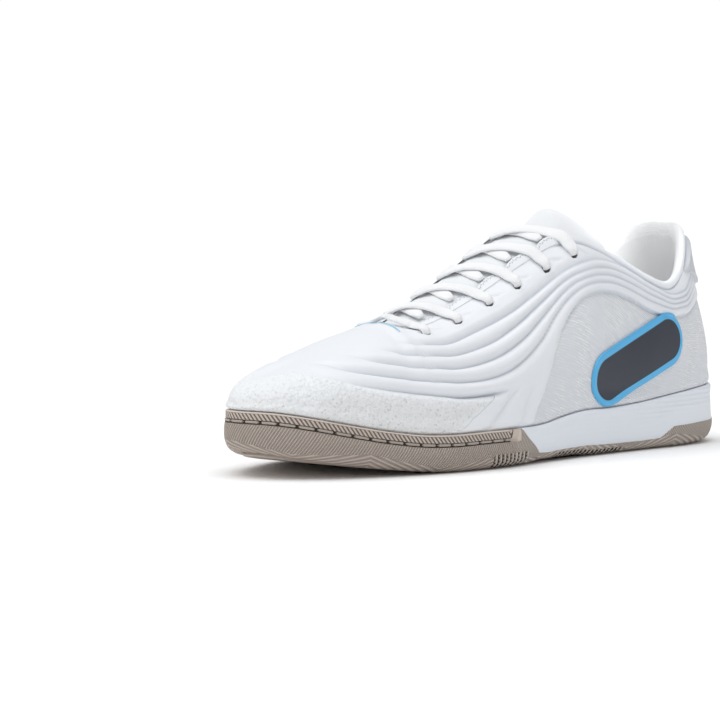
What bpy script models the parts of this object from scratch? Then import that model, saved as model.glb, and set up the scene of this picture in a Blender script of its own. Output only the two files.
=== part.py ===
"""Indoor football shoe for the left foot, standing empty on its sole.

Metres, +Z up, +X to the toe, +Y to the outer side of the foot.
The upper is a loft of ribs that stand on the outline of the sole and meet along the top line:
the collar, the throat and then the middle of the vamp. A rib is found by u, which runs once
around the shoe: 0 at the heel, 1 at the toe, with the outer side from 0 to 1 and the inner
side from 1 to 2. A place on a rib is v, 0 at the rim of the sole and 1 at the top line.
"""
import math

import bmesh
import bpy
from mathutils import Vector

# Driving sizes of the shoe.
LENGTH = 0.290
BALL_WIDTH = 0.097
HEEL_WIDTH = 0.067
HEEL_HEIGHT = 0.0970
INSTEP_HEIGHT = 0.0950
SIDEWALL_HEIGHT = 0.0270
TOE_SPRING = 0.0105
HEEL_ROLL = 0.0030
ARCH_RISE = 0.0010
HEEL_STACK = 0.0155
FOREFOOT_STACK = 0.0095
TREAD_THICKNESS = 0.0034
CUP_WALL = 0.0050
RIM_WALL = 0.0027
UPPER_WALL = 0.0022
COLLAR_PAD = 0.0045
INSOLE_THICKNESS = 0.0040
TONGUE_THICKNESS = 0.0040
TAB_THICKNESS = 0.0012
PANEL_THICKNESS = 0.0008
PANEL_LENGTH = 0.070
PANEL_HEIGHT = 0.024
RIDGE_HEIGHT = 0.0022
EYELET_DIAMETER = 0.0040
LACE_WIDTH = 0.0056
LACE_THICKNESS = 0.0018
GROOVE_WIDTH = 0.0018
GROOVE_DEPTH = 0.0015
FIT_GAP = 0.0003

# How far the upper's foot stands inside its line at the rim.
FOOT_TUCK = 0.0010
# Depth of the line that runs under the rim of the rubber.
RIM_LINE_DEPTH = 0.0008
# Flex grooves of the tread, as shares of the length, and the runs of edge slots as u from, u to
# and their number on each side.
FLEX_GROOVES = (0.10, 0.16, 0.22, 0.62, 0.68, 0.74, 0.80, 0.86)
TOOTH_RUNS = ((0.34, 0.56, 10),)
# How high the tongue is arched in the widest part of the throat.
TONGUE_CROWN = 0.0030
# The tongue above the throat. Columns: x as a share of the length, height as a share of the
# instep's, half width as a share of half the heel's, then the edges' drop and lean to the heel.
TONGUE_TOP = (
    (0.352, 1.055, 0.54, 0.0100, 0.0050),
    (0.343, 1.100, 0.56, 0.0140, 0.0090),
    (0.336, 1.124, 0.55, 0.0155, 0.0110),
)
# The heel tab: how far in u it reaches to each side, where its lower edge is on the heel's
# middle rib, and how much higher on the rib it is at the sides.
TAB_REACH = 0.16
TAB_FOOT = 0.76
TAB_SIDE_RISE = 0.10
# The panel on the outer side: x of its middle as a share of the length, the height of its middle
# over the side wall, and how far its heel end is turned up, in degrees.
PANEL_MIDDLE = 0.270
PANEL_RISE = 0.0139
PANEL_TILT = 19
# How far the laces ride over the line between the throat's edges.
LACE_RISE = 0.0020
# Where the local width changes from the heel's to the ball's, as shares of the length.
WIDTH_BLEND = (0.25, 0.62)
# Outline of the sole at its widest. Columns: u, x of the outer side as a share of the length,
# y of the outer side as a share of the local half width, x and y of the inner side.
OUTLINE = (
    (0.00, 0.000, 0.00, 0.000, 0.00),
    (0.05, 0.012, 0.42, 0.012, 0.42),
    (0.11, 0.050, 0.78, 0.050, 0.78),
    (0.19, 0.125, 1.00, 0.125, 0.985),
    (0.28, 0.225, 1.06, 0.215, 0.985),
    (0.37, 0.330, 1.05, 0.310, 0.88),
    (0.46, 0.440, 0.98, 0.420, 0.74),
    (0.54, 0.540, 0.975, 0.530, 0.75),
    (0.62, 0.635, 1.02, 0.625, 0.865),
    (0.69, 0.720, 1.01, 0.705, 0.98),
    (0.76, 0.800, 0.918, 0.783, 0.965),
    (0.83, 0.885, 0.745, 0.860, 0.79),
    (0.90, 0.953, 0.520, 0.930, 0.575),
    (0.95, 0.989, 0.265, 0.976, 0.33),
    (1.00, 1.000, -0.103, 1.000, 0.103),
)
# Top edge of the sole's side wall. Columns: u, its height and the height of its rubber, as
# shares of the side wall's height.
SIDE = (
    (0.000, 0.980, 0.405),
    (0.165, 0.944, 0.380),
    (0.240, 0.875, 0.355),
    (0.268, 0.840, 0.180),
    (0.310, 0.792, 0.165),
    (0.370, 0.755, 0.170),
    (0.430, 0.750, 0.190),
    (0.480, 0.680, 0.180),
    (0.512, 0.622, 0.160),
    (0.532, 0.608, 0.180),
    (0.573, 0.604, 0.604),
    (0.640, 0.606, 1.500),
    (0.706, 0.600, 1.500),
    (0.748, 0.626, 1.500),
    (0.790, 0.700, 1.500),
    (0.836, 0.811, 1.500),
    (0.888, 0.930, 1.500),
    (0.937, 1.015, 1.500),
    (1.000, 1.037, 1.500),
)
# The top line. Columns: u, x as a share of the length, height as a share of the local height,
# and the half width of the opening, outer and inner, as shares of half the heel's width.
TOP = (
    (0.00, 0.0550, 1.000, 0.00, 0.00),
    (0.05, 0.0590, 1.000, 0.23, 0.23),
    (0.10, 0.0750, 0.980, 0.45, 0.45),
    (0.15, 0.1010, 0.915, 0.66, 0.66),
    (0.20, 0.1340, 0.806, 0.83, 0.83),
    (0.25, 0.1730, 0.746, 0.91, 0.91),
    (0.30, 0.2190, 0.790, 0.895, 0.895),
    (0.35, 0.2740, 0.885, 0.805, 0.805),
    (0.39, 0.3220, 0.960, 0.700, 0.700),
    (0.43, 0.3620, 0.998, 0.590, 0.620),
    (0.46, 0.3920, 0.980, 0.480, 0.600),
    (0.51, 0.4550, 0.895, 0.400, 0.570),
    (0.57, 0.5240, 0.795, 0.370, 0.540),
    (0.63, 0.5965, 0.698, 0.340, 0.500),
    (0.68, 0.6580, 0.632, 0.310, 0.420),
    (0.705, 0.6880, 0.619, 0.240, 0.300),
    (0.72, 0.7000, 0.632, 0.00, 0.00),
    (0.76, 0.7280, 0.607, 0.00, 0.00),
    (0.81, 0.7660, 0.578, 0.00, 0.00),
    (0.86, 0.8060, 0.546, 0.00, 0.00),
    (0.91, 0.8480, 0.510, 0.00, 0.00),
    (0.96, 0.8830, 0.478, 0.00, 0.00),
    (1.00, 0.9030, 0.456, 0.00, 0.00),
)
# The u at which the throat has closed and the vamp's middle line begins.
THROAT_FRONT = next(row[0] for row in TOP[1:] if row[3] == 0)
# How a rib leaves the rim and reaches the top line. Columns: u, then for the outer and for the
# inner side the shares of its chord outward and up at the rim, and outward and down at the top.
FULLNESS = (
    (0.00, (0.06, 0.34, 0.02, 0.34), (0.06, 0.34, 0.02, 0.34)),
    (0.15, (0.06, 0.34, 0.03, 0.34), (0.06, 0.34, 0.03, 0.34)),
    (0.30, (0.07, 0.34, 0.08, 0.30), (0.02, 0.34, 0.10, 0.30)),
    (0.43, (0.07, 0.34, 0.18, 0.28), (-0.02, 0.34, 0.22, 0.24)),
    (0.56, (0.05, 0.34, 0.30, 0.20), (0.02, 0.34, 0.28, 0.18)),
    (0.68, (0.04, 0.34, 0.36, 0.12), (0.04, 0.36, 0.34, 0.10)),
    (0.76, (0.04, 0.34, 0.38, 0.00), (0.04, 0.36, 0.38, 0.00)),
    (0.88, (0.05, 0.34, 0.38, 0.00), (0.05, 0.34, 0.38, 0.00)),
    (1.00, (0.06, 0.34, 0.40, 0.00), (0.06, 0.34, 0.40, 0.00)),
)
# The valleys between the rolls of the upper. Columns: u, then the place on the rib of the edge
# of the heel quarter or of the toe cap, and of the four valleys above it.
VALLEYS = (
    (0.00, 0.600, 0.660, 0.705, 0.750, 0.800),
    (0.12, 0.600, 0.665, 0.712, 0.758, 0.808),
    (0.19, 0.627, 0.695, 0.740, 0.783, 0.828),
    (0.235, 0.695, 0.770, 0.812, 0.857, 0.898),
    (0.275, 0.711, 0.797, 0.848, 0.893, 0.948),
    (0.31, 0.712, 0.790, 0.844, 0.896, 0.960),
    (0.34, 0.722, 0.788, 0.840, 0.892, 0.955),
    (0.37, 0.717, 0.777, 0.825, 0.874, 0.930),
    (0.40, 0.688, 0.742, 0.788, 0.833, 0.886),
    (0.43, 0.647, 0.704, 0.745, 0.787, 0.838),
    (0.455, 0.604, 0.671, 0.720, 0.766, 0.816),
    (0.48, 0.520, 0.631, 0.687, 0.745, 0.800),
    (0.50, 0.440, 0.583, 0.655, 0.724, 0.787),
    (0.525, 0.360, 0.500, 0.610, 0.698, 0.772),
    (0.55, 0.290, 0.440, 0.565, 0.672, 0.760),
    (0.58, 0.255, 0.390, 0.526, 0.645, 0.752),
    (0.61, 0.248, 0.366, 0.500, 0.620, 0.750),
    (0.64, 0.252, 0.364, 0.492, 0.613, 0.745),
    (0.67, 0.265, 0.380, 0.498, 0.616, 0.735),
    (0.70, 0.282, 0.388, 0.505, 0.628, 0.745),
    (0.722, 0.282, 0.361, 0.472, 0.574, 0.692),
    (0.75, 0.286, 0.390, 0.500, 0.612, 0.720),
    (0.80, 0.307, 0.430, 0.560, 0.680, 0.800),
    (0.85, 0.352, 0.510, 0.680, 0.800, 0.880),
    (0.91, 0.500, 0.700, 0.790, 0.860, 0.920),
    (0.95, 0.600, 0.750, 0.820, 0.880, 0.940),
    (1.00, 0.600, 0.750, 0.820, 0.880, 0.940),
)
# Where each valley runs out on its way to the toe, as two values of u.
VALLEY_ENDS = ((1.2, 1.3), (0.84, 0.92), (0.78, 0.86), (0.73, 0.80), (0.69, 0.76))
# The edge of the toe cap starts here, and the lowest valley is the quarter's edge before it.
TOE_CAP_START = (0.56, 0.62)
# The front edge of the heel quarter. Columns: u and the place on the rib.
QUARTER_FRONT = (
    (0.40, 0.688),
    (0.43, 0.647),
    (0.455, 0.604),
    (0.475, 0.551),
    (0.492, 0.480),
    (0.504, 0.390),
    (0.514, 0.275),
    (0.527, 0.157),
    (0.540, 0.070),
    (0.549, 0.000),
    (0.560, -0.200),
)
# Eyelets, from the toe back. Columns: u and the place on the rib, alike on both sides.
EYELETS = (
    (0.694, 0.865),
    (0.643, 0.875),
    (0.590, 0.885),
    (0.538, 0.885),
    (0.487, 0.880),
    (0.440, 0.900),
)


def blend(low, high, x):
    """Eases from 0 at low to 1 at high."""
    s = max(0.0, min(1.0, (x - low) / (high - low)))
    return s * s * (3 - 2 * s)


def half_width(x_share):
    """Half of the shoe's local width, from the heel's to the ball's."""
    part = blend(*WIDTH_BLEND, x_share)
    return (HEEL_WIDTH * (1 - part) + BALL_WIDTH * part) / 2


def local_height(x_share):
    """The height that the top line's shares are of: heel, instep, or vamp."""
    to_instep = blend(0.12, 0.36, x_share)
    return HEEL_HEIGHT * (1 - to_instep) + INSTEP_HEIGHT * to_instep


def hermite(knots, values, u, period=None):
    """Reads a smooth curve through values at knots; a period closes it into a loop."""
    n = len(knots)
    if period:
        u = u % period
    i = max(j for j in range(n) if knots[j] <= u + 1e-12)
    if not period:
        i = min(i, n - 2)

    def knot(j):
        if period:
            return knots[j % n] + period * (j // n)
        return knots[max(0, min(n - 1, j))]

    def value(j):
        return values[j % n] if period else values[max(0, min(n - 1, j))]

    k0, k1, k2, k3 = (knot(i + d) for d in (-1, 0, 1, 2))
    v0, v1, v2, v3 = (value(i + d) for d in (-1, 0, 1, 2))
    h = k2 - k1
    right = (v2 - v1) * (1 / h)
    left = (v1 - v0) * (1 / (k1 - k0)) if k1 > k0 else right
    after = (v3 - v2) * (1 / (k3 - k2)) if k3 > k2 else right
    m1 = (left * h + right * (k1 - k0)) * (1 / (k2 - k0))
    m2 = (right * (k3 - k2) + after * h) * (1 / (k3 - k1))
    s = (u - k1) / h
    return (
        v1 * (2 * s**3 - 3 * s**2 + 1)
        + m1 * (h * (s**3 - 2 * s**2 + s))
        + v2 * (3 * s**2 - 2 * s**3)
        + m2 * (h * (s**3 - s**2))
    )


def ladder_loop(rows, outer, inner):
    """Knots and values of a closed loop from rows that give both sides at once."""
    knots = [row[0] for row in rows] + [2 - row[0] for row in reversed(rows[1:-1])]
    values = [outer(row) for row in rows] + [inner(row) for row in reversed(rows[1:-1])]
    return knots, values


OUTLINE_LOOP = ladder_loop(
    OUTLINE,
    lambda r: Vector((r[1] * LENGTH, r[2] * half_width(r[1]))),
    lambda r: Vector((r[3] * LENGTH, -r[4] * half_width(r[3]))),
)
FULLNESS_LOOP = ladder_loop(FULLNESS, lambda r: Vector(r[1]), lambda r: Vector(r[2]))
TOE_SWING = -0.103 * BALL_WIDTH / 2


def fold(u):
    """The share of the way from heel to toe, and the side: 1 outer, -1 inner."""
    u = u % 2.0
    return (u, 1) if u <= 1 else (2 - u, -1)


def column(rows, index, t):
    """Reads one column of a table at t."""
    return hermite([r[0] for r in rows], [r[index] for r in rows], t)


def outline(u, inset=0.0):
    """A point of the sole's outline, moved inward by inset, and its outward direction."""
    point = hermite(*OUTLINE_LOOP, u, 2.0)
    along = hermite(*OUTLINE_LOOP, u + 1e-4, 2.0) - hermite(*OUTLINE_LOOP, u - 1e-4, 2.0)
    outward = Vector((-along.y, along.x)).normalized()
    return point - outward * inset, outward


def ground(x):
    """Height of the sole's underside: flat under heel and ball, up at the toe and heel edge."""
    s = x / LENGTH
    toe = TOE_SPRING * max(0.0, (s - 0.70) / 0.30) ** 1.6
    heel = HEEL_ROLL * max(0.0, (0.09 - s) / 0.09) ** 2
    arch = ARCH_RISE * blend(0.36, 0.42, s) * (1 - blend(0.50, 0.56, s))
    return toe + heel + arch


def deck(x):
    """Height of the midsole's top, on which the upper and the insole stand."""
    part = blend(0.30, 0.62, x / LENGTH)
    return ground(x) + HEEL_STACK * (1 - part) + FOREFOOT_STACK * part


def rim(u):
    """Height of the top edge of the side wall."""
    return column(SIDE, 1, fold(u)[0]) * SIDEWALL_HEIGHT


def rubber_line(u):
    """Height of the edge between rubber and foam, which passes over the rim in the forefoot."""
    t = fold(u)[0]
    low, high = next((a, b) for a, b in zip(SIDE, SIDE[1:]) if t <= b[0] + 1e-9)
    share = low[2] + (high[2] - low[2]) * (t - low[0]) / (high[0] - low[0])
    return share * SIDEWALL_HEIGHT


def middle(x):
    """The y of the shoe's middle line, which swings inward towards the toe."""
    return TOE_SWING * blend(0.62, 1.05, x / LENGTH)


def top_point(u):
    """A point of the top line: collar, throat, then the middle of the vamp."""
    t, side = fold(u)
    x_share = column(TOP, 1, t)
    half = 0.0
    if t < THROAT_FRONT:
        half = max(0.0, column(TOP, 3 if side > 0 else 4, t)) * HEEL_WIDTH / 2
    x = x_share * LENGTH
    return Vector((x, middle(x) + side * half, column(TOP, 2, t) * local_height(x_share)))


def vamp_slope(u):
    """Rise of the vamp's middle line per unit of x."""
    t = max(THROAT_FRONT + 0.001, min(0.999, fold(u)[0]))
    a, b = top_point(t - 1e-3), top_point(t + 1e-3)
    return (b.z - a.z) / (b.x - a.x)


def rim_point(u):
    """Where the upper leaves the sole."""
    point, outward = outline(u, RIM_WALL + FIT_GAP)
    return Vector((point.x, point.y, rim(u))), Vector((outward.x, outward.y, 0))


def foot_point(u):
    """The lower edge of the upper, on the deck inside the side wall."""
    point, _ = outline(u, RIM_WALL + FOOT_TUCK + FIT_GAP)
    return Vector((point.x, point.y, deck(point.x) + FIT_GAP))


def base(u, v):
    """A point of the upper's outer surface without its ridges; v below 0 goes down to the deck."""
    start, outward = rim_point(u)
    if v < 0:
        return start.lerp(foot_point(u), -v)
    end = top_point(u)
    chord = (end - start).length
    low_out, low_up, high_out, high_down = hermite(*FULLNESS_LOOP, u, 2.0)
    lean = outward.copy()
    if fold(u)[0] >= THROAT_FRONT:
        lean.z = outward.x * vamp_slope(u)
    a = start + (outward * low_out + Vector((0, 0, low_up))) * chord
    b = end + (lean * high_out - Vector((0, 0, high_down))) * chord
    w = 1 - v
    return start * w**3 + a * (3 * w * w * v) + b * (3 * w * v * v) + end * v**3


def normal(u, v):
    """The outward direction of the upper's surface."""
    step = 2e-3
    t, side = fold(u)
    if t >= THROAT_FRONT and v > 0.995:
        return Vector((-vamp_slope(u), 0, 1)).normalized()
    low, high = (v, v + step) if v + step <= 1 else (v - step, v)
    along = base(u + step, v) - base(u - step, v)
    up = base(u, high) - base(u, low)
    found = up.cross(along)
    return found.normalized()


def valleys(t):
    """Places of the valleys on the rib at t, from the lowest up."""
    return [column(VALLEYS, i, t) for i in range(1, len(VALLEYS[0]))]


def quarter_edge(t):
    """Place on the rib of the heel quarter's front edge; below it the rib is on the quarter."""
    if t <= QUARTER_FRONT[0][0]:
        return valleys(t)[0]
    low, high = next(
        ((a, b) for a, b in zip(QUARTER_FRONT, QUARTER_FRONT[1:]) if t <= b[0]),
        (QUARTER_FRONT[-2], QUARTER_FRONT[-1]),
    )
    return low[1] + (high[1] - low[1]) * (t - low[0]) / (high[0] - low[0])


def relief(u, v):
    """Height of the rolls and panels over the upper's base surface."""
    t, _ = fold(u)
    if v < 0:
        return 0.0
    lines = valleys(t)
    spacing = (lines[-1] - lines[1]) / 3
    depth = RIDGE_HEIGHT * min(1.0, spacing / 0.12) * blend(0.10, 0.20, t)
    edge = blend(0.86, 1.0, v) * (1 - blend(0.70, 0.76, t))
    height = 0.5 * RIDGE_HEIGHT * blend(0.0, 0.05, v) * (1 - edge)
    for i, line in enumerate(lines):
        below = line - lines[i - 1] if i else 0.12
        above = lines[i + 1] - line if i + 1 < len(lines) else 0.12
        reach = (below if v < line else above) / 2
        shape = max(0.0, 1 - abs(v - line) / reach) ** 2
        share = 1 - blend(*VALLEY_ENDS[i], t)
        if i == 0:
            share = 1 - blend(0.46, 0.50, t) * (1 - blend(*TOE_CAP_START, t))
            share *= 1 - 0.7 * blend(0.70, 0.84, t)
        height -= depth * share * shape
    if v < quarter_edge(t):
        height -= 0.5 * RIDGE_HEIGHT
    return height


def skin(u, v):
    """A point of the upper's outer surface with its rolls."""
    return base(u, v) + normal(u, v) * relief(u, v)


def wall(u, v):
    """Thickness of the upper, which is padded around the collar."""
    t, _ = fold(u)
    pad = (1 - blend(0.28, 0.40, t)) * blend(0.55, 0.85, v) * (1 - 0.4 * blend(0.88, 1.0, v))
    return UPPER_WALL + COLLAR_PAD * pad


def lining(u, v, clear=0.0):
    """A point of the upper's inner surface, or deeper inside by clear."""
    if v < 0:
        outer = base(u, v)
        _, outward = outline(u)
        return outer - Vector((outward.x, outward.y, 0)) * (UPPER_WALL + clear)
    return base(u, v) - normal(u, v) * (wall(u, v) + clear)


# Stations from the heel to the toe at which the forms have their sections.
STATIONS = (
    0.0, 0.02, 0.04, 0.06, 0.08, 0.10, 0.12, 0.14, 0.16, 0.19, 0.21, 0.23, 0.25, 0.28, 0.31, 0.34,
    0.37, 0.41, 0.45, 0.48, 0.505, 0.53, 0.56, 0.60, 0.64, 0.675, 0.70, THROAT_FRONT, 0.76, 0.80,
    0.84, 0.88, 0.91, 0.94, 0.97, 1.0,
)
LOOP = STATIONS + tuple(2 - t for t in reversed(STATIONS[1:-1]))
# The foam's edge has its own stations, which take in the corners of the rubber's edge.
FOAM_STATIONS = (
    0.0, 0.03, 0.05, 0.07, 0.09, 0.11, 0.13, 0.15, 0.165, 0.20, 0.24, 0.268, 0.31, 0.35, 0.39, 0.43, 0.47, 0.512,
    0.532, 0.573, 0.62, 0.66, 0.69, 0.71, 0.74, 0.78, 0.815, 0.85, 0.88, 0.915, 0.945, 0.975, 1.0,
)
FOAM_LOOP = FOAM_STATIONS + tuple(2 - t for t in reversed(FOAM_STATIONS[1:-1]))
LINING_ROWS = (-1.0, 0.0, 0.16, 0.32, 0.48, 0.62, 0.74, 0.84, 0.92, 1.0)
# The highest place that each valley may take, so that the rows above it keep their room.
ROW_LIMITS = (0.80, 0.85, 0.895, 0.93, 0.96)


def skin_rows(t):
    """Places of the outer surface's rows on the rib at t: the valleys, and two between each."""
    lines = [min(v, limit) for v, limit in zip(valleys(t), ROW_LIMITS)]
    rows = [-1.0, 0.0, lines[0] * 0.5]
    for low, high in zip(lines, lines[1:]):
        rows += [low, low + (high - low) / 3, high - (high - low) / 3]
    return rows + [lines[-1], (lines[-1] + 1) / 2, 1.0]


def new_object(name, bm, material):
    """Turns a bmesh into a named object with flat or smooth faces."""
    bmesh.ops.remove_doubles(bm, verts=bm.verts, dist=1e-6)
    mesh = bpy.data.meshes.new(name)
    bm.to_mesh(mesh)
    bm.free()
    mesh.shade_smooth()
    mesh.set_sharp_from_angle(angle=math.radians(40))
    found = bpy.data.objects.new(name, mesh)
    bpy.context.collection.objects.link(found)
    if material:
        mesh.materials.append(material)
    return found


def new_material(name, colour, roughness):
    """A plain finish; colour is linear red, green and blue."""
    material = bpy.data.materials.new(name)
    material.use_nodes = True
    shader = material.node_tree.nodes["Principled BSDF"]
    shader.inputs["Base Color"].default_value = (*colour, 1)
    shader.inputs["Roughness"].default_value = roughness
    shader.inputs["Metallic"].default_value = 0
    return material


def bridge(bm, low, high, closed=True):
    """Joins two rows of vertices with faces; the outside is to the right of low, seen upward."""
    n = len(low)
    for i in range(n if closed else n - 1):
        j = (i + 1) % n
        corners = [low[i], high[i], high[j], low[j]]
        unique = list(dict.fromkeys(corners))
        if len(unique) > 2:
            bm.faces.new(unique)


def ladder(bm, ring, up):
    """Closes a loop of vertices with rungs from the outer to the inner side."""
    n = len(ring)
    half = n // 2
    for i in range(half):
        a, b = ring[i], ring[i + 1]
        c, d = ring[(n - i - 1) % n], ring[(n - i) % n]
        corners = [d, c, b, a] if up else [a, b, c, d]
        bm.faces.new(list(dict.fromkeys(corners)))


def make_rings(bm, places, loop=LOOP):
    """Makes loops of vertices, each from a function of u."""
    return [[bm.verts.new(place(u)) for u in loop] for place in places]


def ring_at(inset, height):
    """A function from u to the point at an inset from the outline and a height of its own."""

    def place(u):
        point, _ = outline(u, inset(u) if callable(inset) else inset)
        return (point.x, point.y, height(u, point.x))

    return place


def make_upper(material):
    """The hollow upper: rolled skin outside, padded lining inside, open at collar and foot."""
    bm = bmesh.new()
    front = STATIONS.index(THROAT_FRONT)
    outside = {}
    inside = {}
    for u in LOOP:
        t, _ = fold(u)
        outside[u] = [bm.verts.new(skin(u, v)) for v in skin_rows(t)]
        inside[u] = [bm.verts.new(lining(u, v)) for v in LINING_ROWS]
    for t in STATIONS[front:-1]:
        outside[2 - t][-1] = outside[t][-1]
        inside[2 - t][-1] = inside[t][-1]
    around = list(zip(LOOP, LOOP[1:] + LOOP[:1]))
    for a, b in around:
        for rows, outward in ((outside, True), (inside, False)):
            for k in range(len(rows[a]) - 1):
                corners = [rows[a][k], rows[a][k + 1], rows[b][k + 1], rows[b][k]]
                corners = list(dict.fromkeys(corners if outward else corners[::-1]))
                bm.faces.new(corners)
        bm.faces.new([outside[a][0], outside[b][0], inside[b][0], inside[a][0]])
    lip = {}
    for u in LOOP:
        if fold(u)[0] <= THROAT_FRONT:
            outer, inner = outside[u][-1].co, inside[u][-1].co
            rise = Vector((0, 0, 0.35 * (outer - inner).length))
            lip[u] = bm.verts.new((outer + inner) / 2 + rise)
    lip[2 - THROAT_FRONT] = lip[THROAT_FRONT]
    for a, b in around:
        if fold(a)[0] <= THROAT_FRONT and fold(b)[0] <= THROAT_FRONT:
            for low, high in (((outside[a][-1], outside[b][-1]), (lip[a], lip[b])),
                              ((lip[a], lip[b]), (inside[a][-1], inside[b][-1]))):
                bm.faces.new(list(dict.fromkeys([low[0], high[0], high[1], low[1]])))
    for vert in [vert for vert in bm.verts if not vert.link_faces]:
        bm.verts.remove(vert)
    return new_object("upper", bm, material)


def make_sole_block(bm):
    """The whole sole, rubber and foam in one: rounded side, rim line and cup for the upper."""

    def over_ground(rise):
        return lambda u, x: ground(x) + rise

    def under_rim(drop):
        return lambda u, x: rim(u) - drop

    def line_depth(u):
        return RIM_LINE_DEPTH * blend(0.56, 0.62, fold(u)[0])

    places = [
        ring_at(0.0070, over_ground(0.0)),
        ring_at(0.0030, over_ground(0.0014)),
        ring_at(0.0008, over_ground(0.0042)),
        ring_at(0.0, over_ground(0.0080)),
        ring_at(0.0004, under_rim(0.0050)),
        ring_at(lambda u: 0.0004 + line_depth(u), under_rim(0.0043)),
        ring_at(lambda u: 0.0004 + line_depth(u), under_rim(0.0039)),
        ring_at(0.0004, under_rim(0.0033)),
        ring_at(0.0008, under_rim(0.0)),
        ring_at(RIM_WALL, under_rim(0.0)),
        ring_at(RIM_WALL + FOOT_TUCK, lambda u, x: deck(x)),
    ]
    rings = make_rings(bm, places)
    for low, high in zip(rings, rings[1:]):
        bridge(bm, low, high)
    ladder(bm, rings[0], up=False)
    ladder(bm, rings[-1], up=True)


def make_foam_zone(name, grow):
    """A cutter that holds the foam's share of the sole, grown on every face by grow."""
    bm = bmesh.new()
    outside = -0.006
    top = SIDEWALL_HEIGHT * 3
    places = [
        ring_at(CUP_WALL - grow, lambda u, x: ground(x) + TREAD_THICKNESS - grow),
        ring_at(CUP_WALL - grow, lambda u, x: rubber_line(u) - grow),
        ring_at(outside, lambda u, x: rubber_line(u) - grow),
        ring_at(outside, lambda u, x: top),
    ]
    rings = make_rings(bm, places, FOAM_LOOP)
    for low, high in zip(rings, rings[1:]):
        bridge(bm, low, high)
    ladder(bm, rings[0], up=False)
    ladder(bm, rings[-1], up=True)
    return as_cutter(new_object(name, bm, None))


def as_cutter(cutter):
    """Marks an object as a cutter, which is not part of the shoe."""
    cutter.hide_render = True
    cutter.display_type = "WIRE"
    return cutter


def cut(target, cutter, operation):
    """Adds a Boolean to target."""
    modifier = target.modifiers.new(cutter.name, "BOOLEAN")
    modifier.solver = "EXACT"
    modifier.operation = operation
    modifier.object = cutter


def add_box(bm, centre, along, size):
    """Adds a box of size (along, across, up) around centre, turned in plan to the unit along."""
    across = Vector((-along.y, along.x, 0))
    corners = [
        centre + along * (a * size[0] / 2) + across * (b * size[1] / 2) + Vector((0, 0, c * size[2] / 2))
        for a, b, c in (
            (-1, -1, -1), (1, -1, -1), (1, 1, -1), (-1, 1, -1),
            (-1, -1, 1), (1, -1, 1), (1, 1, 1), (-1, 1, 1),
        )
    ]
    verts = [bm.verts.new(corner) for corner in corners]
    for face in ((3, 2, 1, 0), (4, 5, 6, 7), (0, 1, 5, 4), (1, 2, 6, 5), (2, 3, 7, 6), (3, 0, 4, 7)):
        bm.faces.new([verts[i] for i in face])


def make_groove_cutter():
    """Flex grooves across the tread, and the short slots that make teeth along its edge."""
    bm = bmesh.new()
    size_up = 2 * GROOVE_DEPTH
    for share in FLEX_GROOVES:
        x = share * LENGTH
        add_box(bm, Vector((x, 0, ground(x))), Vector((0, 1, 0)), (BALL_WIDTH * 1.2, GROOVE_WIDTH, size_up))
    for low, high, count in TOOTH_RUNS:
        for i in range(count):
            t = low + (high - low) * i / (count - 1)
            for u in (t, 2 - t):
                point, outward = outline(u, 0.0045)
                centre = Vector((point.x, point.y, ground(point.x) + GROOVE_DEPTH * 0.4))
                along = Vector((outward.x, outward.y, 0))
                add_box(bm, centre, along, (0.0085, GROOVE_WIDTH, size_up * 1.4))
    return as_cutter(new_object("groove_cutter", bm, None))


def make_sole(rubber_material, foam_material):
    """Outsole and midsole: the sole block, parted along the rubber's edge."""
    bm = bmesh.new()
    make_sole_block(bm)
    outsole = new_object("outsole", bm, rubber_material)
    bm = bmesh.new()
    make_sole_block(bm)
    midsole = new_object("midsole", bm, foam_material)
    cut(outsole, make_foam_zone("foam_room_cutter", FIT_GAP), "DIFFERENCE")
    cut(outsole, make_groove_cutter(), "DIFFERENCE")
    cut(midsole, make_foam_zone("foam_cutter", 0.0), "INTERSECT")
    return outsole, midsole


def make_insole(material):
    """The insole, on the deck inside the upper."""
    bm = bmesh.new()
    edge = RIM_WALL + FOOT_TUCK + UPPER_WALL + 3 * FIT_GAP
    low = 2 * FIT_GAP
    places = [
        ring_at(edge, lambda u, x: deck(x) + low),
        ring_at(edge, lambda u, x: deck(x) + INSOLE_THICKNESS * 0.6),
        ring_at(edge + 0.0012, lambda u, x: deck(x) + INSOLE_THICKNESS),
    ]
    rings = make_rings(bm, places)
    for a, b in zip(rings, rings[1:]):
        bridge(bm, a, b)
    ladder(bm, rings[0], up=False)
    ladder(bm, rings[-1], up=True)
    return new_object("insole", bm, material)


def slab(bm, top_rows, low_rows):
    """A closed solid between two grids of points, the top one to the left of its rows' run."""
    top = [[bm.verts.new(point) for point in row] for row in top_rows]
    low = [[bm.verts.new(point) for point in row] for row in low_rows]
    for a, b in zip(range(len(top)), range(1, len(top))):
        for j in range(len(top[a]) - 1):
            bm.faces.new([top[a][j], top[a][j + 1], top[b][j + 1], top[b][j]])
            bm.faces.new([low[b][j], low[b][j + 1], low[a][j + 1], low[a][j]])
        bm.faces.new([top[a][0], top[b][0], low[b][0], low[a][0]])
        bm.faces.new([low[a][-1], low[b][-1], top[b][-1], top[a][-1]])
    for j in range(len(top[0]) - 1):
        bm.faces.new([low[0][j], low[0][j + 1], top[0][j + 1], top[0][j]])
        bm.faces.new([top[-1][j], top[-1][j + 1], low[-1][j + 1], low[-1][j]])


def mean_normal(t):
    """The direction out of the throat at t, between its two edges."""
    return (normal(t, 1.0) + normal(2 - t, 1.0)).normalized()


def throat_span(t, share, rise):
    """A point between the throat's edges at t: share -1 outer to 1 inner, arched by rise."""
    low, high = top_point(t), top_point(2 - t)
    return low.lerp(high, (share + 1) / 2) + mean_normal(t) * (rise * (1 - share * share))


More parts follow.
